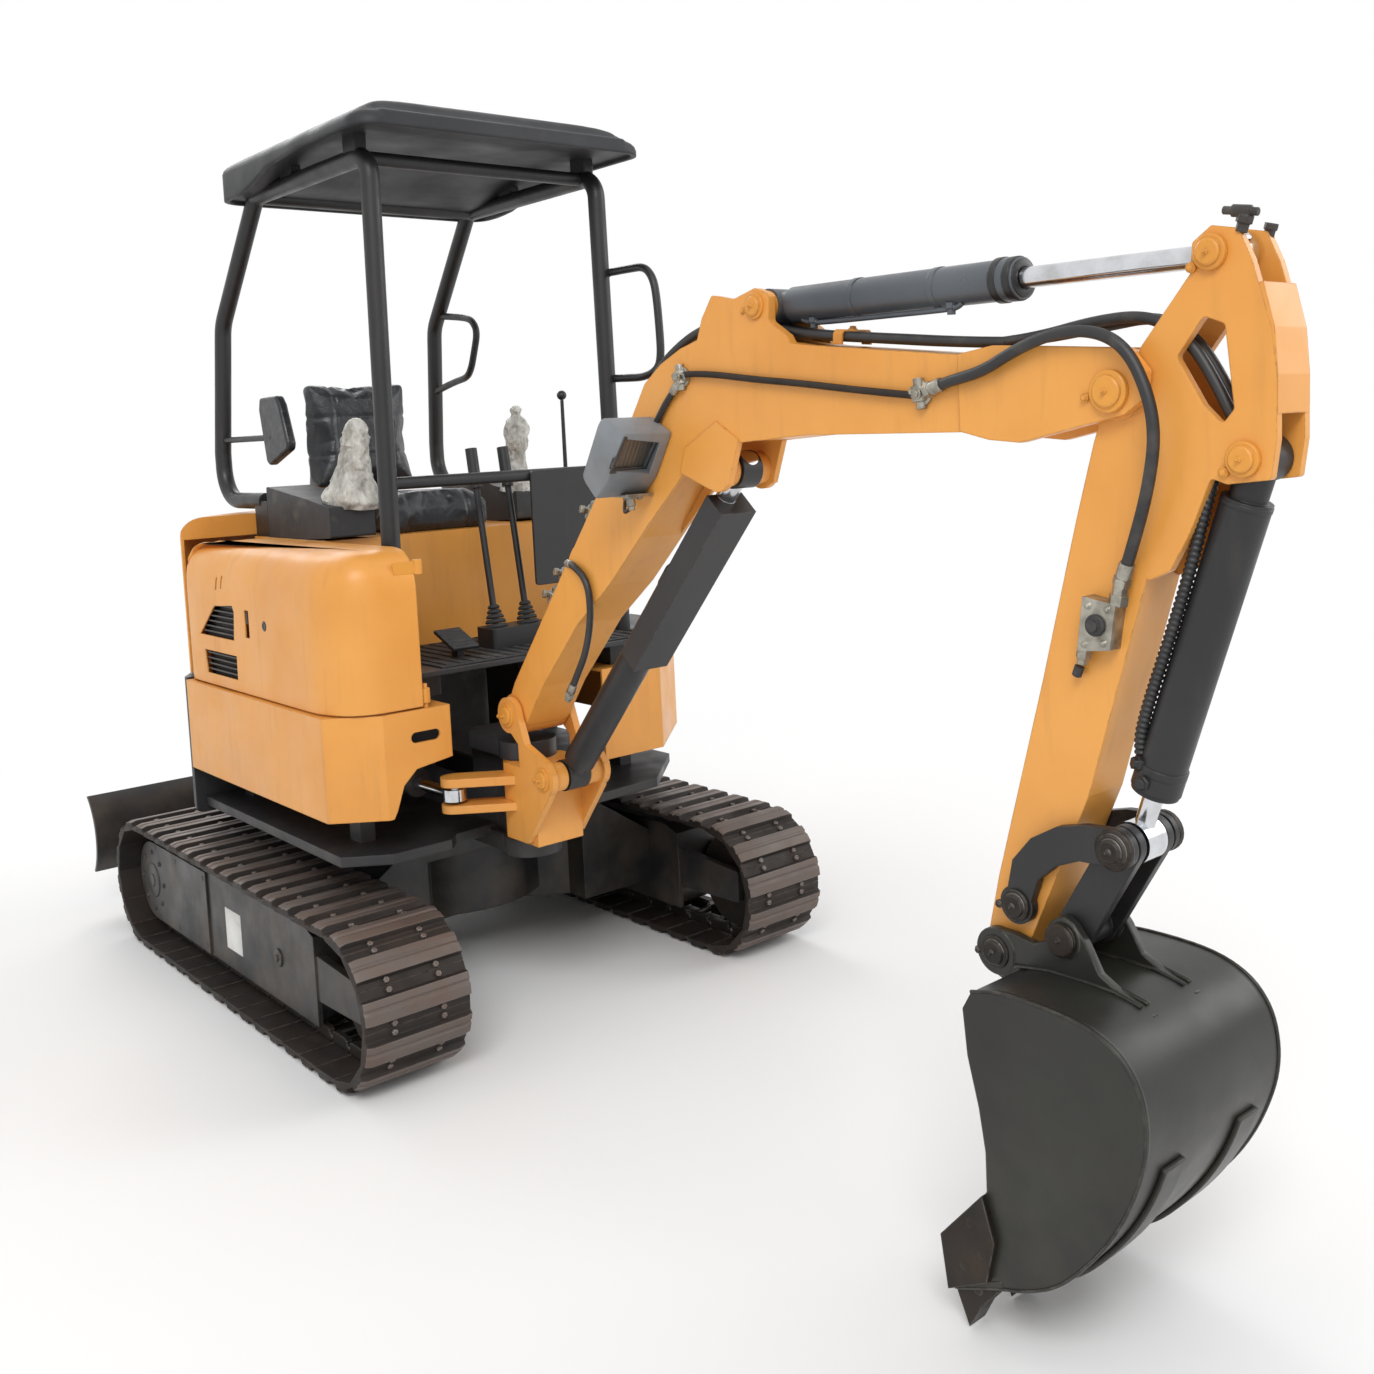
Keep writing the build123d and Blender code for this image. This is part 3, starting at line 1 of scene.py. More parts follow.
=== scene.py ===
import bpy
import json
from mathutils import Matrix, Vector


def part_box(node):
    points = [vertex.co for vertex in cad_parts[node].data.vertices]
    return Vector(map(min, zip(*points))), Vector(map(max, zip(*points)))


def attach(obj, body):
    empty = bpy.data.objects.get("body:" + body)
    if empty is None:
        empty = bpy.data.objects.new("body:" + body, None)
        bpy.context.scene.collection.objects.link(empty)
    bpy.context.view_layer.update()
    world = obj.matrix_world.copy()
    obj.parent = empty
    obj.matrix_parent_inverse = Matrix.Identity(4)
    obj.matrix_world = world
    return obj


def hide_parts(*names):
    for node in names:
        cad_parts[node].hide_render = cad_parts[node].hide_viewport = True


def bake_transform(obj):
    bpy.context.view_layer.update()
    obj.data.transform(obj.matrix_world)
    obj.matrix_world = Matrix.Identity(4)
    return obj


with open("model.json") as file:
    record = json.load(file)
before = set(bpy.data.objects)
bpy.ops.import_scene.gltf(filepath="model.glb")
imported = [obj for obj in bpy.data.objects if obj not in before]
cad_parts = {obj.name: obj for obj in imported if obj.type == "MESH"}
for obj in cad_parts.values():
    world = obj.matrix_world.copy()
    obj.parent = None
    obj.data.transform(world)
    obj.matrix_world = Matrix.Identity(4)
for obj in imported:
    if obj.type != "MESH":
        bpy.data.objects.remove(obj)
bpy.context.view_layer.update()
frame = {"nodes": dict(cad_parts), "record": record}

import json
import math
import bpy
import bmesh
from mathutils import Matrix, Vector, noise

scene = bpy.context.scene
MM = 0.001  # the pieces below are written in millimetres
X0 = -140.0  # middle plane of the boom, the arm and the bucket
ACROSS = Vector((1, 0, 0))
RECORD_JOINTS = {joint["name"]: joint for joint in frame["record"]["behaviour"]["joints"]}
JOINT = {name: [1000 * c for c in joint.get("pos_m", (0, 0, 0))] for name, joint in RECORD_JOINTS.items()}


# ---------------------------------------------------------------- materials
def srgb(r, g, b):
    def lin(c):
        c /= 255.0
        return c / 12.92 if c <= 0.04045 else ((c + 0.055) / 1.055) ** 2.4
    return (lin(r), lin(g), lin(b), 1.0)


def put(tree, socket, value):
    """Links a socket to another one, or writes a plain value on it."""
    if isinstance(value, bpy.types.NodeSocket):
        tree.links.new(value, socket)
    else:
        socket.default_value = value


def wired(tree, kind, *values, operation=None):
    """New node with its first inputs linked or set, in their order."""
    node = tree.nodes.new(kind)
    if operation:
        node.operation = operation
    for socket, value in zip(node.inputs, values):
        put(tree, socket, value)
    return node


class Nodes:
    """Small helper to build a node tree in few lines."""

    def __init__(self, name):
        self.mat = bpy.data.materials.new(name)
        self.mat.use_nodes = True
        self.tree = self.mat.node_tree
        self.bsdf = self.tree.nodes["Principled BSDF"]
        self.coord = self.add("ShaderNodeTexCoord").outputs["Object"]

    def add(self, kind, **inputs):
        node = self.tree.nodes.new(kind)
        for key, value in inputs.items():
            put(self.tree, node.inputs[key.replace("_", " ")], value)
        return node

    def noise(self, scale, detail=4.0, rough=0.55, stretch=None):
        vector = self.coord
        if stretch:
            vector = self.add("ShaderNodeMapping", Vector=vector, Scale=stretch).outputs[0]
        texture = self.add("ShaderNodeTexNoise", Vector=vector, Scale=scale, Detail=detail, Roughness=rough)
        return texture.outputs["Fac"]

    def ramp(self, value, low, high, a=0.0, b=1.0):
        node = self.add("ShaderNodeMapRange", Value=value, From_Min=low, From_Max=high, To_Min=a, To_Max=b)
        return node.outputs[0]

    def mix(self, fac, a, b):
        node = self.tree.nodes.new("ShaderNodeMix")
        node.data_type = "RGBA"
        for number, value in ((0, fac), (6, a), (7, b)):
            put(self.tree, node.inputs[number], value)
        return node.outputs[2]

    def math(self, kind, a, b):
        node = wired(self.tree, "ShaderNodeMath", a, b, operation=kind)
        node.use_clamp = True
        return node.outputs[0]

    def vector(self, kind, *values):
        node = wired(self.tree, "ShaderNodeVectorMath", *values, operation=kind)
        return node.outputs["Value" if kind in ("DOT_PRODUCT", "LENGTH") else "Vector"]

    def edges(self, radius, low=0.02, high=0.25):
        """Rounded normal, and a mask of the edges where it leaves the true one."""
        bevel = self.add("ShaderNodeBevel", Radius=radius)
        bevel.samples = 4
        true_normal = self.add("ShaderNodeNewGeometry").outputs["Normal"]
        match = self.vector("DOT_PRODUCT", bevel.outputs[0], true_normal)
        return bevel.outputs[0], self.ramp(match, 1.0 - low, 1.0 - high)

    def height(self, low, high):
        """Share that falls from 1 to 0 between two heights over the ground."""
        separate = self.add("ShaderNodeSeparateXYZ", Vector=self.coord)
        return self.ramp(separate.outputs["Z"], low, high, 1.0, 0.0)

    def bump(self, value, strength, distance, normal=None):
        node = self.add("ShaderNodeBump", Height=value, Strength=strength, Distance=distance)
        if normal is not None:
            put(self.tree, node.inputs["Normal"], normal)
        return node.outputs[0]

    def out(self, color, rough, normal=None, **values):
        for key, value in (("Base Color", color), ("Roughness", rough), ("Normal", normal), *values.items()):
            if value is not None:
                put(self.tree, self.bsdf.inputs[key], value)
        return self.mat


def painted(name, base, dark, chip, rough=0.42, wear=0.5, round_edge=0.004, grime=0.5):
    """Sprayed paint: uneven colour, dust low down, chipped edges, faint orange peel."""
    n = Nodes(name)
    normal, edge = n.edges(round_edge)
    color = n.mix(n.ramp(n.noise(2.2, 6.0), 0.35, 0.72), base, dark)
    streak = n.noise(5.0, 4.0, stretch=(6.0, 6.0, 0.7))
    color = n.mix(n.math("MULTIPLY", n.ramp(streak, 0.55, 0.85), grime * 0.35), color, srgb(96, 80, 62))
    dirty = n.math("MULTIPLY", n.height(0.10, 0.75), n.ramp(n.noise(7.0, 6.0), 0.38, 0.70))
    color = n.mix(n.math("MULTIPLY", dirty, grime), color, srgb(104, 92, 78))
    chips = n.math("MULTIPLY", edge, n.ramp(n.noise(42.0, 5.0), 0.50, 0.62))
    color = n.mix(n.math("MULTIPLY", chips, wear), color, chip)
    shine = n.ramp(n.noise(12.0, 5.0), 0.3, 0.75, rough - 0.07, rough + 0.14)
    return n.out(color, shine, n.bump(n.noise(260.0, 2.0), 0.05, 0.001, normal))


def roof_plastic():
    n = Nodes("roof_plastic")
    normal, _ = n.edges(0.012)
    color = n.mix(n.ramp(n.noise(3.0, 5.0), 0.35, 0.7), srgb(27, 28, 31), srgb(36, 37, 40))
    color = n.mix(n.math("MULTIPLY", n.ramp(n.noise(6.0, 6.0), 0.60, 0.84), 0.22), color, srgb(84, 81, 77))
    rough = n.ramp(n.noise(9.0, 4.0), 0.3, 0.7, 0.46, 0.62)
    return n.out(color, rough, n.bump(n.noise(900.0, 2.0), 0.12, 0.0006, normal))


def bare_steel(name, light, dark, rust, rough, metallic):
    """Bare steel: rust in patches, rubbed bright along its edges."""
    n = Nodes(name)
    normal, edge = n.edges(0.004)
    color = n.mix(n.ramp(n.noise(8.0, 6.0), 0.32, 0.68), dark, rust)
    color = n.mix(n.math("MULTIPLY", n.ramp(n.noise(30.0, 6.0), 0.45, 0.7), 0.5), color, dark)
    bright = n.math("MULTIPLY", edge, n.ramp(n.noise(60.0, 4.0), 0.35, 0.55))
    color = n.mix(bright, color, light)
    shine = n.ramp(n.noise(14.0, 5.0), 0.3, 0.7, rough - 0.12, rough + 0.18)
    return n.out(color, shine, n.bump(n.noise(160.0, 4.0), 0.22, 0.0012, normal), Metallic=metallic)


def bucket_paint():
    n = Nodes("bucket_paint")
    normal, edge = n.edges(0.005)
    color = n.mix(n.ramp(n.noise(3.0, 6.0), 0.35, 0.7), srgb(40, 39, 37), srgb(50, 52, 46))
    low = n.math("MULTIPLY", n.height(0.0, 0.5), n.ramp(n.noise(11.0, 7.0), 0.42, 0.72))
    color = n.mix(n.math("MULTIPLY", low, 0.35), color, srgb(94, 86, 74))
    chips = n.math("MULTIPLY", edge, n.ramp(n.noise(50.0, 4.0), 0.42, 0.58))
    color = n.mix(n.math("MULTIPLY", chips, 0.7), color, srgb(126, 120, 108))
    shine = n.ramp(n.noise(7.0, 5.0), 0.3, 0.72, 0.30, 0.50)
    return n.out(color, shine, n.bump(n.noise(120.0, 4.0), 0.10, 0.001, normal), Metallic=0.25)


def chrome():
    n = Nodes("chrome_rod")
    color = n.mix(n.ramp(n.noise(20.0, 3.0), 0.4, 0.7), srgb(214, 216, 220), srgb(190, 190, 190))
    return n.out(color, n.ramp(n.noise(60.0, 4.0), 0.3, 0.75, 0.12, 0.24), Metallic=1.0)


def moulded(name, base, rough=0.55, grain=700.0, strength=0.2, dust=0.35):
    """Moulded plastic or rubber: fine grain, with dust in patches."""
    n = Nodes(name)
    normal, _ = n.edges(0.003)
    lighter = tuple(min(1.0, c * 1.6 + 0.008) for c in base[:3]) + (1.0,)
    color = n.mix(n.ramp(n.noise(6.0, 5.0), 0.35, 0.72), base, lighter)
    dusty = n.math("MULTIPLY", n.ramp(n.noise(16.0, 6.0), 0.55, 0.8), dust)
    color = n.mix(dusty, color, srgb(120, 114, 104))
    shine = n.ramp(n.noise(14.0), 0.3, 0.7, rough - 0.06, rough + 0.08)
    return n.out(color, shine, n.bump(n.noise(grain, 2.0), strength, 0.0006, normal))


def zinc():
    n = Nodes("zinc_plate")
    normal, _ = n.edges(0.0015)
    color = n.mix(n.ramp(n.noise(40.0, 4.0), 0.35, 0.7), srgb(176, 172, 160), srgb(120, 116, 106))
    shine = n.ramp(n.noise(60.0), 0.3, 0.7, 0.28, 0.45)
    return n.out(color, shine, n.bump(n.noise(300.0, 3.0), 0.08, 0.0005, normal), Metallic=0.8)


def film():
    """Clear plastic wrap, crinkled."""
    n = Nodes("plastic_film")
    n.mat.blend_method = "BLEND"
    crease = n.noise(34.0, 6.0, 0.62, (1.0, 1.0, 0.45))
    color = n.mix(n.ramp(crease, 0.35, 0.65), srgb(150, 148, 140), srgb(226, 224, 216))
    return n.out(color, n.ramp(crease, 0.3, 0.7, 0.16, 0.36), n.bump(crease, 0.9, 0.012), Alpha=0.88)


def vinyl():
    """Seat cover under its clear wrap: fine grain, large crinkles in the gloss."""
    n = Nodes("seat_vinyl")
    crease = n.noise(15.0, 5.0, 0.6, (1.0, 0.6, 1.0))
    color = n.mix(n.ramp(n.noise(5.0, 4.0), 0.35, 0.7), srgb(36, 37, 40), srgb(52, 54, 58))
    color = n.mix(n.math("MULTIPLY", n.ramp(crease, 0.60, 0.74), 0.25), color, srgb(120, 122, 124))
    grain = n.bump(n.noise(420.0, 2.0), 0.2, 0.0006, n.bump(crease, 0.55, 0.010))
    return n.out(color, n.ramp(crease, 0.3, 0.7, 0.22, 0.48), grain)


def lens():
    """Tinted lamp glass with moulded waves."""
    n = Nodes("lamp_lens")
    cloud = n.noise(1.0, 0.0, 0.0, (1.0, 1.0, 1.0))
    wave = n.add("ShaderNodeTexWave", Vector=n.coord, Scale=26.0, Distortion=0.6)
    color = n.mix(n.ramp(cloud, 0.3, 0.7), srgb(66, 62, 58), srgb(104, 98, 90))
    return n.out(color, 0.12, n.bump(wave.outputs["Fac"], 0.35, 0.002))


def rod_and_guard():
    """Black guard with the bright rod inside it: polished only close to the rod's axis."""
    n = Nodes("guarded_rod")
    way = Vector(RECORD_JOINTS["boom_rod_slide"]["axis"]).normalized()
    offset = n.vector("SUBTRACT", n.coord, Vector(JOINT["boom_barrel_pivot"]) * MM)
    distance = n.vector("LENGTH", n.vector("CROSS_PRODUCT", offset, way))
    near = n.ramp(distance, 0.0213, 0.0215, 1.0, 0.0)
    normal, edge = n.edges(0.003)
    paint = n.mix(n.ramp(n.noise(4.0, 6.0), 0.35, 0.7), srgb(30, 30, 32), srgb(44, 43, 43))
    chips = n.math("MULTIPLY", edge, n.ramp(n.noise(50.0), 0.45, 0.6))
    color = n.mix(near, n.mix(chips, paint, srgb(104, 98, 90)), srgb(208, 210, 214))
    return n.out(color, n.ramp(near, 0.0, 1.0, 0.42, 0.18), normal, Metallic=near)


MAT = {
    "yellow": painted("yellow_paint", srgb(232, 163, 78), srgb(218, 146, 62), srgb(84, 66, 50), 0.36, 0.55),
    "black": painted("black_paint", srgb(34, 34, 36), srgb(26, 26, 28), srgb(98, 88, 78), 0.40, grime=0.45),
    "grey": painted(
        "grey_paint", srgb(44, 45, 48), srgb(36, 37, 40), srgb(100, 92, 84), 0.45, 0.4, grime=0.4,
    ),
    "barrel": painted(
        "barrel_paint", srgb(88, 94, 100), srgb(64, 69, 75), srgb(130, 124, 116), 0.32, 0.4, 0.003, 0.25,
    ),
    "pin": painted("pin_paint", srgb(228, 158, 64), srgb(206, 138, 52), srgb(80, 70, 60), 0.42, 0.7, 0.002),
    "track": bare_steel("track_steel", srgb(184, 176, 168), srgb(104, 96, 91), srgb(104, 88, 80), 0.5, 0.4),
    # darker copy of the track steel: painted shade for the troughs between the grousers and for the shoes' ends
    "track_painted_shade": bare_steel("track_painted_shade", srgb(104, 94, 88), srgb(38, 34, 32), srgb(52, 42, 36), 0.6, 0.3),
    "steel": bare_steel("worn_steel", srgb(130, 126, 120), srgb(44, 42, 40), srgb(58, 48, 40), 0.5, 0.6),
    "plastic": moulded("black_plastic", srgb(33, 33, 35)),
    "hose": moulded("hose_rubber", srgb(30, 30, 31), 0.42, 500.0, 0.25, 0.3),
    "engine": moulded("engine_iron", srgb(50, 50, 50), 0.6),
    "lamp": moulded("lamp_grey", srgb(112, 116, 120), 0.42, 600.0, 0.1, 0.25),
    "bezel": moulded("lamp_bezel", srgb(58, 54, 52), 0.4),
    "mesh": moulded("grille_black", srgb(42, 37, 33), 0.5),
    "mat": moulded("floor_rubber", srgb(34, 34, 34), 0.7, 300.0, 0.4, 0.5),
    "plate": moulded("blank_plate", srgb(196, 196, 192), 0.4, 300.0, 0.05, 0.3),
    "roof": roof_plastic(),
    "bucket": bucket_paint(),
    "chrome": chrome(),
    "zinc": zinc(),
    "film": film(),
    "vinyl": vinyl(),
    "lens": lens(),
    "guard": rod_and_guard(),
}
NODE_MATERIAL = {
    "yellow": "skirt_right skirt_left cover_right engine_hood seat_base swing_bracket boom arm",
    "black": "car_body track_frame_right track_frame_left blade blade_barrel canopy_frame tilt_link"
    " bucket_link bucket_barrel boom_barrel travel_levers swing_barrel front_panel",
    "grey": "counterweight main_frame slew_ring floor_plate",
    "barrel": "arm_barrel",
    "roof": "canopy_roof",
    "track": "track_right track_left",
    "steel": "sprocket_right sprocket_left idler_right idler_left",
    "bucket": "bucket",
    "chrome": "blade_rod swing_rod arm_rod bucket_rod",
    "guard": "boom_rod",
    "plastic": "console_right console_left",
    "lamp": "work_lamp",
    "vinyl": "seat_cushion seat_back",
    "engine": "engine",
}
for key, names in NODE_MATERIAL.items():
    for name in names.split():
        obj = frame["nodes"][name]
        obj.data.materials.clear()
        obj.data.materials.append(MAT[key])
# the record's slot behind the pieces of each material
SLOT = {
    "yellow": "yellow_paint",
    "black": "black_paint",
    "roof": "roof_plastic",
    "track": "steel_track",
    "bucket": "bucket_paint",
    "vinyl": "seat_vinyl",
    **dict.fromkeys(("barrel", "plate"), "grey_paint"),
    **dict.fromkeys(("pin", "steel", "zinc"), "worn_steel"),
    **dict.fromkeys(("plastic", "hose", "film", "mesh", "mat"), "console_plastic"),
    **dict.fromkeys(("lamp", "lens", "bezel"), "lamp_box"),
}


# ---------------------------------------------------------------- tools for the pieces
def box_mm(node):
    """Lowest and highest corner of a CAD node, in millimetres."""
    low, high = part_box(node)
    return [c * 1000 for c in low], [c * 1000 for c in high]


def at_x(x, *pairs):
    """Points of one side plane, from their y and z."""
    return [(x, y, z) for y, z in pairs]


def evaluated_mesh(obj):
    return bpy.data.meshes.new_from_object(obj.evaluated_get(bpy.context.evaluated_depsgraph_get()))


def spokes(axis, steps):
    """Unit vectors round an axis."""
    side = axis.orthogonal().normalized()
    other = axis.cross(side)
    turns = [2 * math.pi * step / steps for step in range(steps)]
    return [side * math.cos(turn) + other * math.sin(turn) for turn in turns]


def ring(bm, points):
    return [bm.verts.new(Vector(p) * MM) for p in points]


def skin(bm, rings, closed=False, tones=None):
    """Faces from ring to ring, with flat ends unless the rings close on themselves."""
    for a, b in zip(rings, rings[1:] + (rings[:1] if closed else [])):
        for i in range(len(a)):
            j = (i + 1) % len(a)
            bm.faces.new((a[i], a[j], b[j], b[i])).material_index = tones[i] if tones else 0
    if not closed:
        for end in (rings[0][::-1], rings[-1]):
            bm.faces.new(end).material_index = 1 if tones else 0


def mesh_from(name, bm):
    """Mesh with its faces turned outward; the bmesh is used up."""
    bmesh.ops.recalc_face_normals(bm, faces=bm.faces)
    mesh = bpy.data.meshes.new(name)
    bm.to_mesh(mesh)
    bm.free()
    return mesh


def piece(name, bm, body, mat, round_edge=0.0, angle=30):
    """Object that rides on a body, or stays unattached where it is when the body is not a name, shaded softly
    between flat faces.
    """
    mesh = mesh_from(name, bm)
    mesh.materials.append(MAT[mat])
    for face in mesh.polygons:
        face.use_smooth = True
    mesh.set_sharp_from_angle(angle=math.radians(angle))
    obj = bpy.data.objects.new(name, mesh)
    scene.collection.objects.link(obj)
    if round_edge:
        bevel = obj.modifiers.new("round", "BEVEL")
        bevel.width = round_edge * MM
        bevel.segments = 2
        bevel.limit_method = "ANGLE"
    if isinstance(body, str):
        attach(obj, body)
    else:
        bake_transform(obj)
    return obj


def cut_out(obj, cutter):
    """Takes the cutter's volume out of a piece and applies the result."""
    tool = bpy.data.objects.new("cutter", mesh_from("cutter", cutter))
    scene.collection.objects.link(tool)
    step = obj.modifiers.new("cut", "BOOLEAN")
    step.operation = "DIFFERENCE"
    step.solver = "EXACT"
    step.object = tool
    made = evaluated_mesh(obj)
    obj.modifiers.clear()
    obj.data = made
    made.set_sharp_from_angle(angle=math.radians(35))
    bpy.data.objects.remove(tool)


def lathe(bm, place, axis, profile, steps=20, hole=0.0):
    """Turned form: profile holds (distance along the axis, radius). A hole makes it a ring."""
    if hole:
        profile = ((profile[0][0], hole), *profile, (profile[-1][0], hole))
    place, axis = Vector(place), Vector(axis).normalized()
    around = spokes(axis, steps)
    rings = [ring(bm, [place + axis * way + s * max(r, 0.05) for s in around]) for way, r in profile]
    skin(bm, rings, closed=bool(hole))


def prism(bm, points, shift):
    """Closed outline of 3-D points, pushed along a shift."""
    skin(bm, [ring(bm, points), ring(bm, [Vector(p) + Vector(shift) for p in points])])


def side_slab(bm, outline, x0, x1):
    prism(bm, at_x(x0, *outline), (x1 - x0, 0, 0))


def block(bm, low, high):
    (x0, y0, z0), (x1, y1, z1) = low, high
    prism(bm, ((x0, y0, z0), (x1, y0, z0), (x1, y1, z0), (x0, y1, z0)), (0, 0, z1 - z0))


def bolt(bm, place, axis, size=9.0, head=7.0):
    """Hexagon head on a washer."""
    lathe(bm, place, axis, ((-2, size * 1.3), (1.2, size * 1.3), (1.8, size * 1.2)), 14)
    lathe(bm, place, axis, ((1.0, size), (head - 1.2, size), (head, size * 0.86)), 6)
    lathe(bm, place, axis, ((head - 0.6, size * 0.62), (head + 0.5, size * 0.55)), 10)


def pin_end(bm, place, axis, radius, proud=9.0):
    """Cap of a pin: collar, rounded end and grease nipple."""
    collar, end = radius * 1.34, proud + 2.2
    lathe(bm, place, axis, ((-3, collar), (proud * 0.45, collar), (proud * 0.6, radius * 1.26)), 28)
    lathe(
        bm, place, axis, ((0, radius), (proud, radius), (end, radius * 0.86), (proud + 2.4, radius * 0.3)),
        28,
    )
    nipple = ((0, 4.2), (5, 4.2), (6, 2.6), (10, 2.6), (11, 1.8))
    lathe(bm, place, axis, [(proud + way, r) for way, r in nipple], 8)


def route(points, resolution=10):
    """Points of the smooth line that runs by the given ones."""
    curve = bpy.data.curves.new("route", "CURVE")
    curve.dimensions = "3D"
    spline = curve.splines.new("NURBS")
    spline.points.add(len(points) - 1)
    for target, point in zip(spline.points, points):
        target.co = (*[c * MM for c in point], 1.0)
    spline.order_u = 3
    spline.use_endpoint_u = True
    curve.resolution_u = resolution
    obj = bpy.data.objects.new("route", curve)
    scene.collection.objects.link(obj)
    mesh = evaluated_mesh(obj)
    line = [v.co / MM for v in mesh.vertices]
    bpy.data.objects.remove(obj)
    bpy.data.curves.remove(curve)
    bpy.data.meshes.remove(mesh)
    return line


def ahead_at(line, i):
    """Direction of a line at one of its points."""
    return (line[min(i + 1, len(line) - 1)] - line[max(i - 1, 0)]).normalized()


def sweep(bm, line, radius, steps=12, ribs=0.0, pitch=0.0):
    """Round hose or pipe along a line; ribs raise its radius once each pitch."""
    rings = []
    way, side = 0.0, None
    turns = [2 * math.pi * step / steps for step in range(steps)]
    for i, point in enumerate(line):
        ahead = ahead_at(line, i)
        side = (ahead.orthogonal() if side is None else side - ahead * side.dot(ahead)).normalized()
        other = ahead.cross(side)
        if i:
            way += (point - line[i - 1]).length
        size = radius + (ribs * (0.5 + 0.5 * math.sin(2 * math.pi * way / pitch)) if pitch else 0.0)
        rings.append(ring(bm, [point + (side * math.cos(t) + other * math.sin(t)) * size for t in turns]))
    skin(bm, rings)


def hose(name, body, points, radius, ends=(True, True), ribs=0.0, pitch=0.0):
    """Hose along a route, with a pressed sleeve and a nut at the ends that are asked for."""
    line = route(points, 60 if pitch else 10)
    bm = bmesh.new()
    sweep(bm, line, radius, 12, ribs, pitch)
    piece(name, bm, body, "hose", angle=50)
    if not any(ends):
        return
    bm = bmesh.new()
    for wanted, end, inner in ((ends[0], line[0], line[2]), (ends[1], line[-1], line[-3])):
        if wanted:
            place, axis, r = end + (inner - end).normalized() * 30, end - inner, radius
            lathe(bm, place, axis, ((0, r * 1.18), (3, r * 1.3), (24, r * 1.3), (27, r * 1.1)), 14)
            lathe(bm, place, axis, ((26, r * 1.5), (38, r * 1.5), (40, r * 1.3)), 6)
            lathe(bm, place, axis, ((38, r * 0.9), (50, r * 0.9)), 12)
    piece(name + "_fittings", bm, body, "zinc")


def catmull(points, per=6):
    """Points on the smooth line that passes through the given ones."""
    points = [Vector(p) for p in points]
    line = []
    for i in range(len(points) - 1):
        a, b = points[i], points[i + 1]
        before = points[i - 1] if i else a + (a - b)
        after = points[i + 2] if i + 2 < len(points) else b + (b - a)
        for step in range(per):
            t = step / per
            square, cube = 2 * before - 5 * a + 4 * b - after, 3 * a - before - 3 * b + after
            line.append(0.5 * ((2 * a) + (b - before) * t + square * t**2 + cube * t**3))
    return line + [points[-1]]


def table(pairs, value):
    """Straight-line reading of a short table, sorted by its first column."""
    if value <= pairs[0][0]:
        return pairs[0][1]
    for (a, low), (b, high) in zip(pairs, pairs[1:]):
        if value <= b:
            return low + (high - low) * (value - a) / (b - a)
    return pairs[-1][1]


def smooth_table(*pairs):
    return [(p.x, p.y) for p in catmull([(a, b, 0) for a, b in pairs], 5)]


def soft_min(a, b, blend=12.0):
    h = max(0.0, min(1.0, 0.5 + 0.5 * (b - a) / blend))
    return b * (1 - h) + a * h - blend * h * (1 - h)


def inward(line, depth):
    """The same line in side view, moved to its inner side."""
    ways = [ahead_at(line, i) for i in range(len(line))]
    return [point + Vector((0, -ahead.z, ahead.y)) * -depth for point, ahead in zip(line, ways)]


def curved_plate(bm, line, depth, x0, x1):
    """Plate that follows a line in side view, with its outer face on it."""
    rings = []
    for a, b in zip(line, inward(line, depth)):
        rings.append(ring(bm, ((x0, a.y, a.z), (x1, a.y, a.z), (x1, b.y, b.z), (x0, b.y, b.z))))
    skin(bm, rings)


# ---------------------------------------------------------------- pins, caps and bolts
# y and z of the pins that are no joint
ARM_ROD_PIN, ARM_BARREL_PIN = (-2622, 1698), (-1686, 1713)
BUCKET_BARREL_PIN, ROD_LINK_PIN = (-2667, 1409), (-2458, 818)
BUCKET_LINK_PIN, BUCKET_PIN = (-2358, 653), (-2222, 597)
BOOM_HALF, ARM_HALF = 62, 46  # half widths of the boom's and the arm's plates
# joint at the pin, half width where the cap sits, radius, body, material
PINS = (
    ("boom_lift", 84, 22, "swing_bracket", "pin"),
    ("boom_barrel_pivot", 84, 21, "swing_bracket", "pin"),
    ("arm_barrel_pivot", 62, 19, "boom", "pin"),
    ("arm_fold", 72, 24, "boom", "pin"),
    ("bucket_curl", 67, 21, "bucket", "steel"),
    ("tilt_link_pivot", 67, 20, "tilt_link", "steel"),
)
for joint, half, radius, body, mat in PINS:
    bm = bmesh.new()
    _, y, z = JOINT[joint]
    for side in (-1, 1):
        pin_end(bm, (X0 + side * half, y, z), (side, 0, 0), radius)
        bolt(bm, (X0 + side * half, y + radius * 1.75, z - radius * 0.3), (side, 0, 0), 5.5, 5)
    piece("pin_" + joint, bm, body, mat)
# arm head: the bucket cylinder's and the arm cylinder's pins
half = box_mm("arm")[1][0] - X0
for name, spot in (("arm_cylinder", ARM_ROD_PIN), ("bucket_cylinder", BUCKET_BARREL_PIN)):
    bm = bmesh.new()
    for side in (-1, 1):
        pin_end(bm, (X0 + side * half, *spot), (side, 0, 0), 19)
        bolt(bm, (X0 + side * half, spot[0] + 30, spot[1] - 18), (side, 0, 0), 6, 5)
    piece("pin_" + name, bm, "arm", "pin")

# pins of the links, with stacked collars
bm = bmesh.new()
for side in (-1, 1):
    lathe(bm, (X0 + side * 66, *ROD_LINK_PIN), (side, 0, 0), ((-2, 33), (7, 33), (9, 30)), 24)
    pin_end(bm, (X0 + side * 74, *ROD_LINK_PIN), (side, 0, 0), 19)
piece("pin_rod_link", bm, "tilt_link", "steel")
bm = bmesh.new()
for side in (-1, 1):
    pin_end(bm, (X0 + side * 67, *BUCKET_LINK_PIN), (side, 0, 0), 19)
    lathe(bm, (X0 + side * 74, *BUCKET_LINK_PIN), (side, 0, 0), ((0, 27), (5, 27), (7, 24)), 24)
piece("pin_bucket_link", bm, "bucket", "steel")

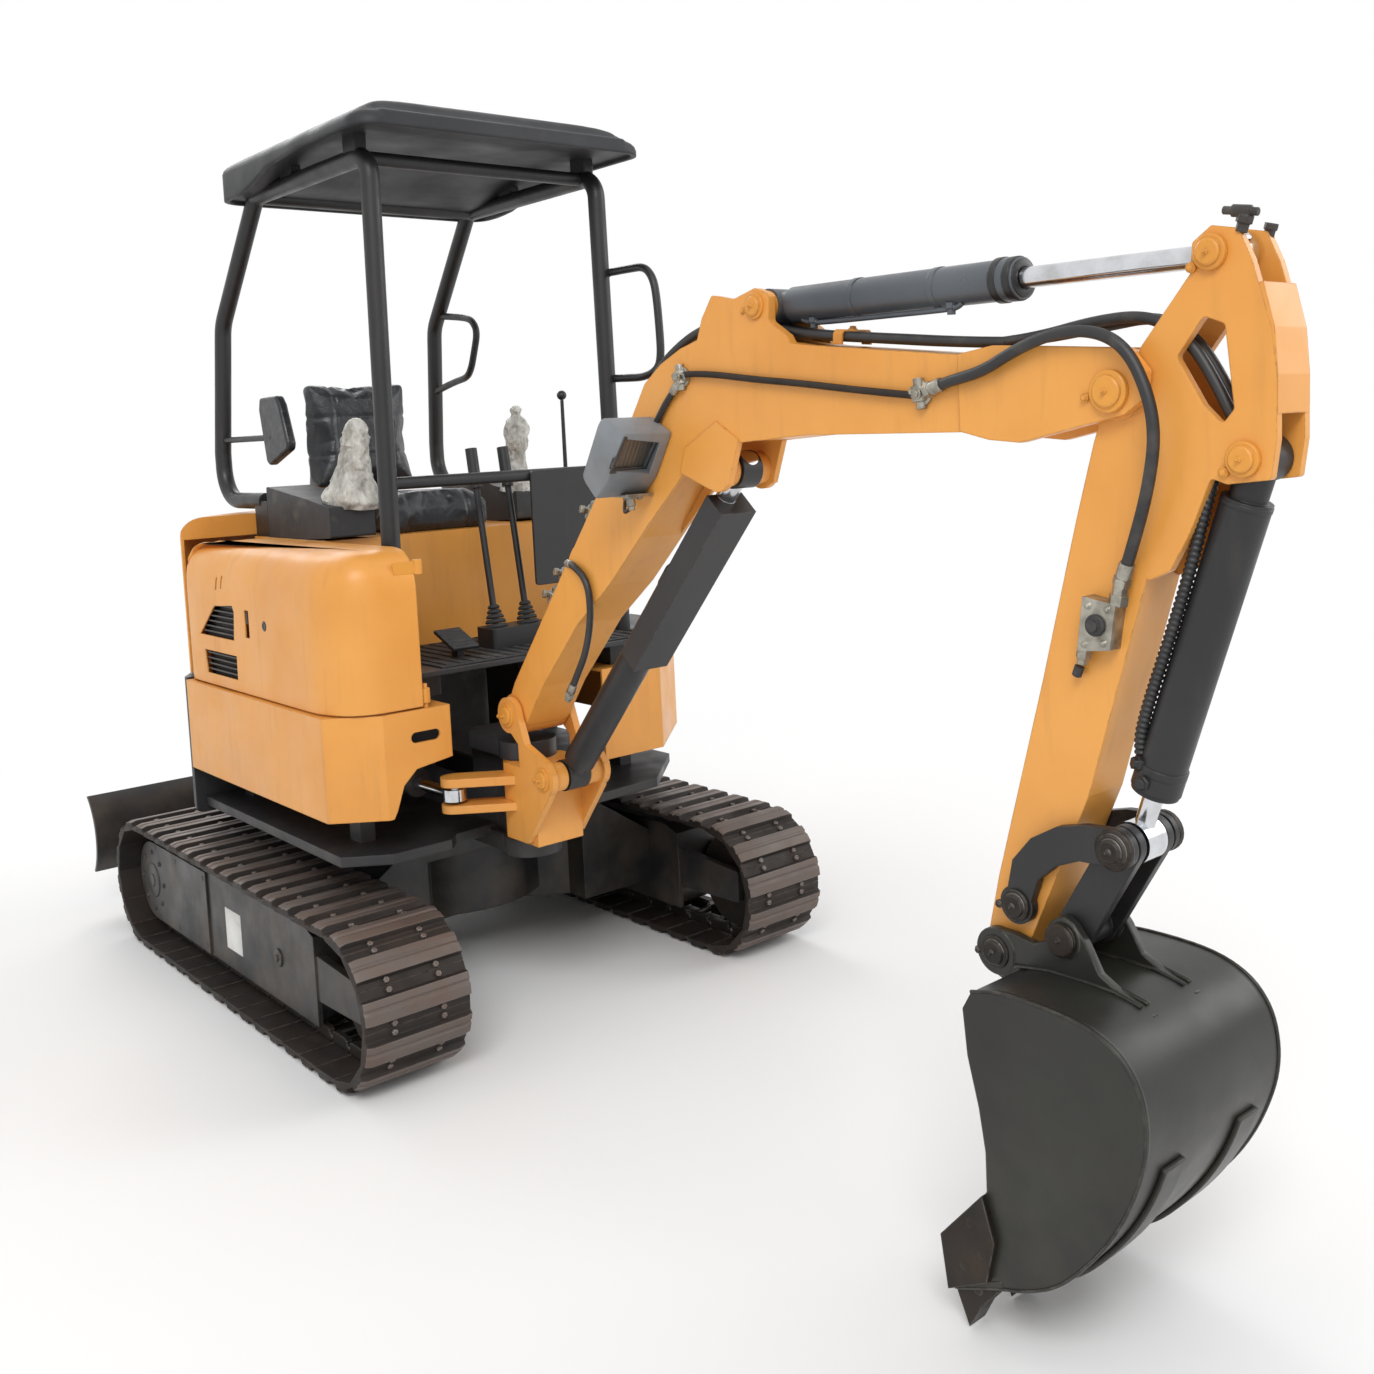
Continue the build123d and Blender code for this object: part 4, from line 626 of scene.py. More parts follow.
# ---------------------------------------------------------------- hoses and pipes of the boom and arm
SIDE = X0 - BOOM_HALF - 9  # beside the boom's right face
hose(
    "hose_lamp_side", "boom", at_x(SIDE, (-1365, 1490), (-1400, 1532), (-1432, 1560), (-1458, 1582)), 7,
    ends=(False, True),
)
bm = bmesh.new()
line = at_x(SIDE, (-1478, 1597), (-1530, 1597), (-1696, 1574), (-1805, 1562), (-1957, 1541), (-2084, 1526))
sweep(bm, route(line), 6.5)
piece("pipe_boom_side", bm, "boom", "steel", angle=50)
for name, y, z in (("rear", -1463, 1592), ("front", -2100, 1528)):
    bm = bmesh.new()
    lathe(
        bm, (SIDE + 4, y, z - 26), (0, 0.12, 1), ((0, 9), (12, 9), (13, 15), (38, 15), (39, 10), (52, 10)),
        12,
    )
    lathe(bm, (SIDE + 4, y - 20, z + 2), (0, 1, 0), ((0, 12), (40, 12)), 6)
    lathe(bm, (X0 - 63, y, z), (-1, 0, 0), ((0, 21), (4, 21), (5, 19)), 18)
    bolt(bm, (SIDE - 10, y, z), (-1, 0, 0), 8, 6)
    piece("fitting_boom_" + name, bm, "boom", "zinc", 0.8)
LOOP = SIDE - 13
hose(
    "hose_nose_loop",
    ("boom", "arm", (LOOP * MM, -2.244, 1.555), (LOOP * MM, -2.512, 1.308)),
    (
        (SIDE, -2122, 1534), (SIDE - 4, -2160, 1544), (LOOP, -2244, 1556), (LOOP, -2305, 1584),
        (LOOP, -2380, 1606), (LOOP, -2455, 1604), (LOOP, -2508, 1574), (LOOP, -2540, 1512),
        (LOOP, -2552, 1450), (LOOP, -2541, 1380), (LOOP + 8, -2514, 1306), (X0 - BOOM_HALF, -2478, 1232),
    ),
    9.5,
)
# shut-off block on the arm's side
ARM_SIDE = X0 - ARM_HALF
bm = bmesh.new()
side_slab(bm, ((-2404, 1120), (-2462, 1126), (-2474, 1196), (-2416, 1206)), ARM_SIDE, ARM_SIDE - 30)
lathe(bm, (ARM_SIDE - 16, -2470, 1200), (0, -0.2, 1), ((-6, 15), (10, 15), (11, 12), (30, 12)), 6)
lathe(bm, (ARM_SIDE - 16, -2408, 1120), (0, 0.25, -1), ((-4, 12), (12, 12), (13, 9), (22, 9)), 6)
for y, z in ((-2418, 1132), (-2452, 1136), (-2426, 1192), (-2460, 1188)):
    bolt(bm, (ARM_SIDE - 30, y, z), (-1, 0, 0), 4.5, 5)
piece("shutoff_block", bm, "arm", "zinc", 1.5)
bm = bmesh.new()
lathe(
    bm, (ARM_SIDE - 30, -2439, 1163), (-1, 0, 0), ((-1, 17), (4, 17), (6, 15), (6.5, 9), (12, 9), (13, 7)),
    22,
)
lathe(bm, (ARM_SIDE - 12, -2396, 1094), (-0.1, 0.35, -1), ((0, 8), (16, 8), (18, 5)), 12)
piece("shutoff_plug", bm, "arm", "plastic", 0.6)
# hoses that lie on the boom's back, from its foot to the nose
BACK = (
    (-742, 860), (-752, 905), (-860, 1046), (-1003, 1212), (-1150, 1384), (-1272, 1536), (-1330, 1612),
    (-1392, 1650), (-1456, 1678), (-1532, 1694), (-1622, 1692), (-1712, 1666), (-1800, 1650), (-1960, 1632),
    (-2140, 1611), (-2250, 1602),
)
for number, x in enumerate((X0 - 26, X0 - 2, X0 + 22)):
    hose(f"hose_boom_back_{number}", "boom", at_x(x, *BACK), 9.5, ends=(True, number == 2))
for number, x in enumerate((X0 - 26, X0 - 2)):
    tail = (
        (x, -2236, 1603), (x, -2300, 1604), (x, -2420, 1622 - 8 * number), (x, -2510, 1622),
        (x + 2, -2570, 1585), (x + 4, -2612, 1520), (x + 4, -2640, 1462),
    )
    hose(
        f"hose_nose_{number}", ("boom", "arm", (X0 * MM, -2.30, 1.60), (X0 * MM, -2.62, 1.50)), tail, 9,
        ends=(False, False),
    )
REAR_LEAN = Vector((0, 0.766, 0.642))  # outward from the back of the boom's lower half
bm = bmesh.new()
for y, z, wide in ((-1003, 1212, 46), (-1216, 1466, 46), (-1880, 1641, 40)):
    lean = REAR_LEAN if z < 1500 else Vector((0, -0.1, 1)).normalized()
    along = Vector((0, -lean.z, lean.y))
    base = Vector((X0, y, z)) - along * 11
    arch = [
        (-wide, -14), (-wide, 6), (-wide + 7, 13), (wide - 7, 13), (wide, 6), (wide, -14), (wide - 5, -14),
        (wide - 5, 5), (wide - 8, 9), (-wide + 8, 9), (-wide + 5, 5), (-wide + 5, -14),
    ]
    prism(bm, [base + ACROSS * a + lean * b for a, b in arch], along * 22)
    bolt(bm, Vector((X0, y, z)) + lean * 13, lean, 7, 6)
piece("hose_clamps", bm, "boom", "pin", 0.8)
bm = bmesh.new()
for y, z, x in (
    (-905, 1112, -34), (-952, 1166, -30), (-1078, 1314, -34), (-1128, 1372, -28), (-1168, 1420, -36),
):
    lean = REAR_LEAN
    along = Vector((0, -lean.z, lean.y))
    lathe(
        bm, Vector((X0 + x, y, z)) - along * 22, along,
        ((0, 12), (14, 12), (15, 14.5), (30, 14.5), (31, 12), (44, 12)), 12,
    )
    lathe(bm, (X0 + x, y, z), (-1, 0.3, 0.2), ((8, 8), (20, 8), (21, 10), (30, 10)), 6)
piece("hose_joints", bm, "boom", "zinc", 0.8)
# loop from the boom's back down to the boom cylinder
hose(
    "hose_boom_loop", "boom",
    (
        (SIDE + 18, -1000, 1192), (SIDE - 2, -1040, 1196), (SIDE - 2, -1100, 1160), (SIDE - 2, -1106, 1080),
        (SIDE - 2, -1078, 995), (SIDE - 2, -1034, 935), (SIDE - 2, -1004, 892),
    ),
    8,
)
# pipe under the arm cylinder
start = Vector((X0, *ARM_BARREL_PIN))
axis = (Vector((X0, *ARM_ROD_PIN)) - start).normalized()
down = Vector((0, -axis.z, axis.y))
bm = bmesh.new()
low = [
    start + axis * s + down * d + ACROSS * -14
    for s, d in ((80, 30), (96, 37), (140, 39), (300, 39), (430, 39), (456, 37), (464, 30))
]
sweep(bm, route(low), 5)
for s in (110, 440):
    lathe(bm, start + axis * s + down * 28 + ACROSS * -14, down, ((0, 11), (10, 11), (11, 8), (20, 8)), 6)
for s in (210, 400):
    lathe(bm, start + axis * s, axis, ((0, 34.6), (1, 35.6), (13, 35.6), (14, 34.6)), 36, 31)
piece("arm_cylinder_pipe", bm, "arm_barrel", "barrel")
bm = bmesh.new()
for s, r in ((533, 37.5), (560, 36.2)):
    lathe(bm, start + axis * s, axis, ((0, r - 2), (1.5, r), (14, r), (15.5, r - 2)), 40, r - 6)
lathe(bm, start + axis * 577, axis, ((0, 31), (3, 31), (4.5, 27), (5, 19.5)), 40, 19)
piece("arm_cylinder_gland", bm, "arm_barrel", "black")
start = Vector((X0, *BUCKET_BARREL_PIN))
axis = (Vector((X0, *ROD_LINK_PIN)) - start).normalized()
bm = bmesh.new()
for s, r in ((492, 39.4), (518, 38.6)):
    lathe(bm, start + axis * s, axis, ((0, r - 2), (1.5, r), (14, r), (15.5, r - 2)), 40, 33)
lathe(bm, start + axis * 64, axis, ((0, 34), (2, 38), (9, 38), (11, 34)), 40, 33)
piece("bucket_cylinder_rings", bm, "bucket_barrel", "black")
# wrapped hose between the arm and the bucket cylinder
hose(
    "hose_bucket_cylinder", "bucket_barrel",
    (
        (X0 - 20, -2640, 1452), (X0 - 24, -2612, 1400), (X0 - 27, -2590, 1320), (X0 - 27, -2566, 1235),
        (X0 - 27, -2528, 1128), (X0 - 27, -2492, 1032), (X0 - 24, -2474, 968), (X0 - 14, -2480, 928),
    ),
    8, ribs=2.4, pitch=9.0,
)
bm = bmesh.new()
lathe(bm, (X0 - 30, -2480, 948), (-0.8, 0.6, 0.2), ((-12, 13), (4, 13), (5, 10), (12, 10)), 6)
lathe(bm, (X0 - 34, -2492, 922), (-1, 0, 0), ((-6, 12), (10, 12), (11, 9), (18, 9)), 6)
piece("bucket_cylinder_port", bm, "bucket_barrel", "black", 0.8)
# plug at the top of the arm's head
bm = bmesh.new()
lathe(bm, (X0 - 41, -2664, 1720), (0, -0.35, 1), ((0, 9), (12, 9), (13, 12), (24, 12), (25, 7), (34, 7)), 6)
lathe(bm, (X0 - 41, -2690, 1744), (0, 1, 0.18), ((0, 6), (10, 6), (11, 9), (38, 9), (39, 6), (52, 6)), 12)
lathe(bm, (X0 + 41, -2660, 1718), (0, -0.3, 1), ((0, 8), (10, 8), (11, 10), (20, 10)), 6)
piece("head_plug", bm, "arm", "mesh", 0.8)

# ---------------------------------------------------------------- work lamp
face_at = Vector((X0 - 189.3, -1420, 1483))
wide = Vector((128, 33, 0)).normalized()
out = Vector((2739, -10624, -6784)).normalized()
tall = out.cross(wide)


def on_lamp(a, b, depth):
    return face_at + wide * a + tall * b + out * depth


bm = bmesh.new()
prism(bm, [on_lamp(a, b, -8.5) for a, b in ((14, -14), (118, -14), (118, -82), (14, -82))], out * 3.5)
piece("lamp_lens", bm, "boom", "lens", 1.0)
bm = bmesh.new()
outer, inner = ((6, -5), (126, -5), (126, -91), (6, -91)), ((13, -13), (119, -13), (119, -83), (13, -83))
for i in range(4):
    j = (i + 1) % 4
    corners = (outer[i], outer[j], inner[j], inner[i])
    prism(bm, [on_lamp(*corner, 0) for corner in corners], out * 3.0)
piece("lamp_bezel", bm, "boom", "bezel", 0.8)
bm = bmesh.new()
block(bm, (X0 - 132, -1345, 1352), (X0 - 64, -1300, 1358))
lathe(bm, (X0 - 110, -1324, 1352), (0, -0.2, -1), ((0, 15), (5, 15), (6, 10), (20, 10), (21, 7), (28, 7)), 8)
bolt(bm, (X0 - 84, -1322, 1352), (0, 0, -1), 8, 7)
piece("lamp_bracket", bm, "boom", "zinc", 0.8)
hose(
    "lamp_cable", "boom",
    ((X0 - 110, -1326, 1330), (X0 - 112, -1310, 1318), (X0 - 92, -1276, 1322), (X0 - 66, -1250, 1350)), 4,
    ends=(False, False),
)

# ---------------------------------------------------------------- tracks: bolts of the shoes
low, high = box_mm("track_right")
RADIUS = (high[2] - low[2]) / 2 - 14
STRAIGHT = (high[1] - low[1]) - (high[2] - low[2])
MIDDLE_Z = (high[2] + low[2]) / 2
MIDDLE_Y = (high[1] + low[1]) / 2
SHOES = 40


def on_track(share):
    """Point and outward direction on the shoes' plates at a share of the way round."""
    arc = math.pi * RADIUS
    way = (share % 1.0) * 2 * (STRAIGHT + arc)
    half = STRAIGHT / 2
    if way < STRAIGHT:
        return Vector((0, MIDDLE_Y + half - way, MIDDLE_Z - RADIUS)), Vector((0, 0, -1))
    way -= STRAIGHT
    if way < arc:
        turn = way / RADIUS
        spoke = Vector((0, -math.sin(turn), -math.cos(turn)))
        return Vector((0, MIDDLE_Y - half, MIDDLE_Z)) + spoke * RADIUS, spoke
    way -= arc
    if way < STRAIGHT:
        return Vector((0, MIDDLE_Y - half + way, MIDDLE_Z + RADIUS)), Vector((0, 0, 1))
    turn = (way - STRAIGHT) / RADIUS
    spoke = Vector((0, math.sin(turn), math.cos(turn)))
    return Vector((0, MIDDLE_Y + half, MIDDLE_Z)) + spoke * RADIUS, spoke


for word in ("right", "left"):
    low, high = box_mm("track_" + word)
    middle = (low[0] + high[0]) / 2
    bm = bmesh.new()
    for shoe in range(SHOES):
        for share in (0.10, 0.87):
            spot, way = on_track((shoe + share) / SHOES)
            for x in (-62, 62):
                lathe(bm, (middle + x, spot.y, spot.z), way, ((-1, 7.5), (5, 7.5), (6.5, 6)), 6)
    piece("shoe_bolts_" + word, bm, "undercarriage", "track")
    # links of the chain inside the shoes
    bm = bmesh.new()
    for shoe in range(SHOES):
        spot, way = on_track((shoe + 0.5) / SHOES)
        along = Vector((0, way.z, -way.y))
        for x in (-40, 40):
            centre = Vector((middle + x, spot.y, spot.z)) - way * 27
            outline = [
                centre + along * a + way * b
                for a, b in ((-40, -13), (-28, -19), (28, -19), (40, -13), (40, 10), (-40, 10))
            ]
            prism(bm, [p - ACROSS * 7 for p in outline], (14, 0, 0))
        lathe(
            bm, Vector((middle - 50, spot.y, spot.z)) - way * 27 + along * 48, (1, 0, 0), ((0, 9), (100, 9)),
            12,
        )
    piece("chain_links_" + word, bm, "undercarriage", "steel", 1.0)

# ---------------------------------------------------------------- track frames
IDLER = (673.5, 192.5)  # y and z of its axle


def idler_rim(radius, degrees):
    turn = math.radians(degrees)
    return IDLER[0] + radius * math.cos(turn), IDLER[1] + radius * math.sin(turn)


for word, side in (("right", -1), ("left", 1)):
    low, high = box_mm("track_frame_" + word)
    outer = low[0] if side < 0 else high[0]
    bm = bmesh.new()
    for y, z in ((250, 96), (250, 290), (470, 292), (640, 300), (640, 86), (768, 250), (768, 134), (470, 92)):
        bolt(bm, (outer, y, z), (side, 0, 0), 8.5, 6)
    piece("frame_bolts_" + word, bm, "undercarriage", "black")
    bm = bmesh.new()
    block(bm, (outer - 1.4, -2, 126), (outer + 1.4, 106, 240))
    piece("blank_plate_" + word, bm, "undercarriage", "plate", 0.8)
    bm = bmesh.new()
    for y in (-400, -140, 120, 380):
        lathe(bm, (side * 567 - 62, y, 101), (1, 0, 0), ((0, 30), (6, 34), (124, 34), (130, 30)), 24)
    lathe(bm, (outer, -250, 190), (side, 0, 0), ((-2, 24), (4, 24), (5, 21), (5.5, 9), (9, 9)), 24)
    round_end = [idler_rim(118, degrees) for degrees in range(-90, 91, 9)]
    side_slab(
        bm, [(230, round_end[0][1]), *round_end, (230, round_end[-1][1])], outer - side * 2, outer + side * 6,
    )
    lathe(
        bm, (outer + side * 5, *IDLER), (side, 0, 0),
        ((0, 52), (3, 52), (4.5, 49), (5, 20), (7, 20), (8, 17)), 36,
    )
    for degrees in range(0, 360, 45):
        bolt(bm, (outer + side * 6, *idler_rim(86, degrees)), (side, 0, 0), 6.5, 5)
    piece("frame_fittings_" + word, bm, "undercarriage", "black")

# ---------------------------------------------------------------- roof
ROOF_LOW, ROOF_HIGH = box_mm("canopy_roof")
ROOF_BASE = ROOF_HIGH[2] - 35
ROOF_R = 70.0  # radius of the corners in plan
FRONT_Y, REAR_Y = ROOF_LOW[1], ROOF_HIGH[1]
# heights over ROOF_BASE: along the middle by y, in from the edge, and of the underside by y
ROOF_LINE = smooth_table(
    (FRONT_Y, -30), (FRONT_Y + 8, -21), (FRONT_Y + 38, -14), (FRONT_Y + 52, 0), (FRONT_Y + 76, 17),
    (FRONT_Y + 140, 28), (-160, 33), (0, 33), (90, 29), (160, 20), (REAR_Y - 110, 6), (REAR_Y - 66, -14),
    (REAR_Y - 34, -40), (REAR_Y - 12, -70), (REAR_Y, -98),
)
ROOF_EDGE = smooth_table(
    (0, -46), (5, -34), (20, -22), (44, -8), (72, 6), (104, 18), (150, 27), (230, 33), (430, 35),
)
ROOF_FOOT = (
    (FRONT_Y, -60), (-110, -60), (-50, -65), (20, -82), (90, -103), (150, -114), (221, -119), (REAR_Y, -120),
)
# grid lines' distances from an edge
INSETS = (0, 4, 12, 14, 17, 24, 34, 44, 53, 62, 73, 84, 100, 116, 150, 200, 270, 350)


def roof_grid(half):
    """Grid lines over one direction, close together near both edges."""
    return sorted({-half + d for d in INSETS if d <= half} | {half - d for d in INSETS if d <= half})


def rim(sheet):
    """Outer vertices of a grid, in their order round it."""
    return sheet[0] + [row[-1] for row in sheet[1:]] + sheet[-1][-2::-1] + [row[0] for row in sheet[-2:0:-1]]


def roof():
    """Shell of the canopy's roof: a crowned top sheet, an underside and the rim between them."""
    bm = bmesh.new()
    half_x, half_y = ROOF_HIGH[0], (REAR_Y - FRONT_Y) / 2
    mid_y = (REAR_Y + FRONT_Y) / 2
    xs, ys = roof_grid(half_x), roof_grid(half_y)
    sheets = []
    for under in (False, True):
        rows = []
        for v in ys:
            row = []
            for u in xs:
                x, y = u, v
                cx, cy = abs(x) - (half_x - ROOF_R), abs(y) - (half_y - ROOF_R)
                inset = min(half_x - abs(x), half_y - abs(y))
                if cx > 0 and cy > 0:
                    scale = max(cx, cy) / math.hypot(cx, cy)
                    x = math.copysign(half_x - ROOF_R + cx * scale, x)
                    y = math.copysign(half_y - ROOF_R + cy * scale, y)
                y += mid_y
                across = half_x - abs(u) if not (cx > 0 and cy > 0) else inset
                if under:
                    z = table(ROOF_FOOT, y) + (0.0 if inset <= 14 else 10.0)
                else:
                    z = soft_min(table(ROOF_LINE, y), table(ROOF_EDGE, across))
                    if 116 <= across and FRONT_Y + 160 < y < REAR_Y - 150 and 150 < abs(u) < 250:
                        z -= 4.0  # the two shallow hollows along the top
                row.append(bm.verts.new((x * MM, y * MM, (ROOF_BASE + z) * MM)))
            rows.append(row)
        sheets.append(rows)
        for a, b in zip(rows, rows[1:]):
            for i in range(len(xs) - 1):
                bm.faces.new((a[i], a[i + 1], b[i + 1], b[i]))
    outer, inner = (rim(sheet) for sheet in sheets)
    for i in range(len(outer)):
        j = (i + 1) % len(outer)
        bm.faces.new((outer[i], outer[j], inner[j], inner[i]))
    return bm


shell = piece("roof_shell", roof(), "upper", "roof", 1.5, 40)
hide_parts("canopy_roof")
bm = bmesh.new()
for x in (-345, 345):
    for y in (-396, -344, -6, 46):
        bolt(bm, (x * 0.985, y, ROOF_BASE - 2), (0, 0, -1), 8, 6)
piece("roof_bolts", bm, "upper", "black")

# ---------------------------------------------------------------- grab handles and side bar
LEFT_X = 358
bm = bmesh.new()
for path in (
    (
        (-438, 1938), (-560, 1938), (-622, 1936), (-656, 1905), (-669, 1860), (-676, 1760), (-677, 1690),
        (-660, 1655), (-600, 1638), (-520, 1640), (-438, 1643),
    ),
    (
        (514, 1905), (430, 1896), (333, 1883), (296, 1868), (273, 1832), (300, 1770), (322, 1722),
        (352, 1692), (420, 1684), (500, 1670), (573, 1655),
    ),
):
    sweep(bm, route(at_x(LEFT_X, *path)), 11, 16)
    for y, z in (path[0], path[-1]):
        lathe(bm, (LEFT_X, y, z), (0, 1, 0), ((-10, 15), (-6, 17), (6, 17), (10, 15)), 18)
piece("grab_handles", bm, "upper", "black", angle=50)
bm = bmesh.new()
sweep(bm, route(((-366, 596, 1520), (-366, 500, 1520), (-366, 330, 1520), (-366, 200, 1520))), 9, 14)
for y in (590, 205):
    lathe(bm, (-366, y, 1520), (0, 1, 0), ((-8, 13), (-5, 15), (5, 15), (8, 13)), 16)
piece("side_bar", bm, "upper", "black", angle=50)
bm = bmesh.new()
side_slab(
    bm,
    ((262, 1634), (150, 1636), (128, 1612), (84, 1500), (92, 1482), (222, 1440), (240, 1452), (272, 1600)),
    -352, -380,
)
piece("side_pad", bm, "upper", "vinyl", 7.0, 40)

# ---------------------------------------------------------------- tracks
SHOE_FORM = (
    (0.01, -1.0), (0.15, -1.0), (0.20, 13.4), (0.44, 13.4), (0.47, 10.0), (0.53, 10.0), (0.56, 13.4),
    (0.72, 13.4), (0.77, -1.0), (0.99, -1.0), (1.04, -12.0), (-0.02, -9.0),
)
# slot of each face round a shoe: 0 keeps the brighter worn steel on the grousers, 1 gives the dark steel that is
# painted shade between them
SHOE_SHADE_SLOTS = [int(min(a[1], b[1]) <= 5) for a, b in zip(SHOE_FORM, SHOE_FORM[1:] + SHOE_FORM[:1])]
low, high = box_mm("track_right")
SHOE_HALF = (high[0] - low[0]) / 2
for word in ("right", "left"):
    low, high = box_mm("track_" + word)
    middle = (low[0] + high[0]) / 2
    bm = bmesh.new()
    for shoe in range(SHOES):
        spots = [on_track((shoe + share) / SHOES) for share, _ in SHOE_FORM]
        rings = []
        for x, sink in ((0, 5.0), (16, 0.0), (2 * SHOE_HALF - 16, 0.0), (2 * SHOE_HALF, 5.0)):
            points = []
            for (_, height), (spot, way) in zip(SHOE_FORM, spots):
                point = Vector((middle - SHOE_HALF, *(spot + way * height).yz))
                points.append(point + ACROSS * x - way * (sink if height > 0 else 0.0))
            rings.append(ring(bm, points))
        # the troughs between the grousers and both ends of each shoe take the second slot: painted shade
        skin(bm, rings, tones=SHOE_SHADE_SLOTS)
    made = piece("shoes_" + word, bm, "undercarriage", "track", 1.5)
    # second slot: the darker track steel, painted shade
    made.data.materials.append(MAT["track_painted_shade"])
    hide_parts("track_" + word)

# ---------------------------------------------------------------- bucket
MOUTH = (
    (-2268, 578), (-2249, 546), (-2256, 470), (-2276, 390), (-2287, 320), (-2287, 254), (-2256, 212),
    (-2222, 168), (-2206, 140), (-2222, 64),
)
BACK_CURVE = (
    (-2222, 64), (-2300, 98), (-2360, 121), (-2418, 155), (-2470, 208), (-2517, 270), (-2553, 337),
    (-2577, 408), (-2581, 470), (-2566, 526), (-2526, 568), (-2453, 590), (-2330, 592), (-2268, 578),
)
low, high = box_mm("bucket")
BUCKET_HALF = (high[0] - low[0]) / 2 - 12
curve = catmull([(0, y, z) for y, z in BACK_CURVE], 5)
bm = bmesh.new()
curved_plate(bm, curve, 10, X0 - BUCKET_HALF + 2, X0 + BUCKET_HALF - 2)
side_line = [(p.y, p.z) for p in curve] + [(y, z) for y, z in MOUTH[1:-1]]
for side in (-1, 1):
    a, b = X0 + side * BUCKET_HALF, X0 + side * (BUCKET_HALF - 11)
    side_slab(bm, side_line, a, b)
made = piece("bucket_bowl", bm, "bucket", "bucket", 3.0, 40)
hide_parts("bucket")
bm = bmesh.new()
for x in (-105, 105):
    strip = [p + (p - q) * 0.9 for p, q in zip(curve[4:34], inward(curve[4:34], 10))]
    curved_plate(bm, strip, 9, X0 + x - 28, X0 + x + 28)
side_slab(
    bm, ((-2214, 58), (-2318, 104), (-2313, 117), (-2222, 78)), X0 - BUCKET_HALF - 1, X0 + BUCKET_HALF + 1,
)
piece("bucket_strips", bm, "bucket", "bucket", 2.0, 40)
bm = bmesh.new()
for side in (-1, 1):
    cutter = ((-2287, 252), (-2198, 152), (-2211, 63), (-2292, 108), (-2310, 180))
    side_slab(bm, cutter, X0 + side * BUCKET_HALF, X0 + side * (BUCKET_HALF + 12))
    for y, z in ((-2262, 196), (-2246, 118), (-2284, 152)):
        bolt(bm, (X0 + side * BUCKET_HALF, y, z), (side, 0, 0), 9, 11)
piece("bucket_cutters", bm, "bucket", "steel", 1.5)
bm = bmesh.new()
for x in (-165, -55, 55, 165):
    tooth = ((-2214, 60), (-2240, 3), (-2262, 44), (-2300, 88), (-2276, 108), (-2214, 78))
    side_slab(bm, tooth, X0 + x - 20, X0 + x + 20)
    lathe(bm, (X0 + x - 24, -2262, 76), (1, 0, 0), ((0, 6), (1, 7), (47, 7), (48, 6)), 12)
piece("bucket_teeth", bm, "bucket", "steel", 4.0)
bm = bmesh.new()
EAR = (
    (-2184, 600), (-2192, 624), (-2206, 634), (-2226, 637), (-2262, 636), (-2300, 630), (-2322, 640),
    (-2334, 660), (-2345, 684), (-2362, 689), (-2378, 682), (-2400, 655), (-2424, 612), (-2460, 592),
    (-2520, 572), (-2380, 560), (-2250, 548), (-2200, 565),
)
for side in (-1, 1):
    side_slab(bm, EAR, X0 + side * 51, X0 + side * 67)
    lathe(bm, (X0 + side * 50, *BUCKET_PIN), (side, 0, 0), ((0, 40), (17, 40), (19, 38)), 36)
    lathe(bm, (X0 + side * 50, *BUCKET_LINK_PIN), (side, 0, 0), ((0, 32), (17, 32), (19, 30)), 36)
    lathe(bm, (X0 + side * 47.5, *BUCKET_PIN), (side, 0, 0), ((0, 32), (5, 32)), 36)
lathe(bm, (X0 - 53, *BUCKET_PIN), (1, 0, 0), ((0, 19.5), (106, 19.5)), 28)
piece("bucket_ears", bm, "bucket", "bucket", 2.0, 35)
EAR_WELD = ((-2262, 583), (-2330, 593), (-2400, 594), (-2453, 592), (-2500, 582))
bm = bmesh.new()
for side in (-1, 1):
    sweep(bm, [Vector((X0 + side * (BUCKET_HALF - 1), p.y, p.z)) for p in curve], 3.2, 6)
    for x in (50, 68):
        sweep(bm, [Vector((X0 + side * x, y, z)) for y, z in EAR_WELD], 4.0, 6)
piece("bucket_welds", bm, "bucket", "bucket", angle=60)

# ---------------------------------------------------------------- lamp housing
LAMP_SIDE = (
    (-1420, 1483), (-1367, 1400), (-1352, 1383), (-1310, 1351), (-1276, 1384), (-1265, 1400), (-1330, 1503),
    (-1342, 1516), (-1357, 1518),
)
bm = bmesh.new()
side_slab(bm, LAMP_SIDE, X0 - 62.3, X0 - 189.3)
made = piece("lamp_housing", bm, "boom", "lamp", 7.0, 40)
recess = bmesh.new()
prism(recess, [on_lamp(a, b, -9) for a, b in ((10, -11), (122, -11), (122, -85), (10, -85))], out * 30)
cut_out(made, recess)
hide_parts("work_lamp")

# ---------------------------------------------------------------- right cover
COVER_LOW, COVER_HIGH = box_mm("cover_right")
COVER_IN = -398.0  # where the sheet meets the platform
CX, CF, CR = COVER_LOW[0], COVER_LOW[1], COVER_HIGH[1]  # outer side, front and rear
COVER_PLAN = (
    (COVER_IN, CF), (-470, CF), (-515, CF + 3), (-556, CF + 22), (-584, CF + 56), (CX + 8, CF + 106),
    (CX, CF + 170), (CX, -200), (CX, 0), (CX, CR - 60), (CX + 5, CR - 16), (CX + 18, CR), (-500, CR),
    (COVER_IN, CR),
)
COVER_RISE = (
    (COVER_LOW[2], 0), (1100, 0), (1140, 1), (1168, 5), (1192, 14), (1211, 29), (1224, 48), (1231, 70),
    (COVER_HIGH[2] - 0.5, 100),
)
plan = catmull([(x, y, 0) for x, y in COVER_PLAN], 3)
bm = bmesh.new()
rows = []
for z, inset in COVER_RISE:
    row = []
    for i, point in enumerate(plan):
        ahead = ahead_at(plan, i)
        spot = point + Vector((ahead.y, -ahead.x, 0)) * inset
        spot.x = min(spot.x, COVER_IN)
        if i in (0, len(plan) - 1):
            spot.x = COVER_IN
        spot.z = z
        row.append(bm.verts.new(spot * MM))
    rows.append(row)
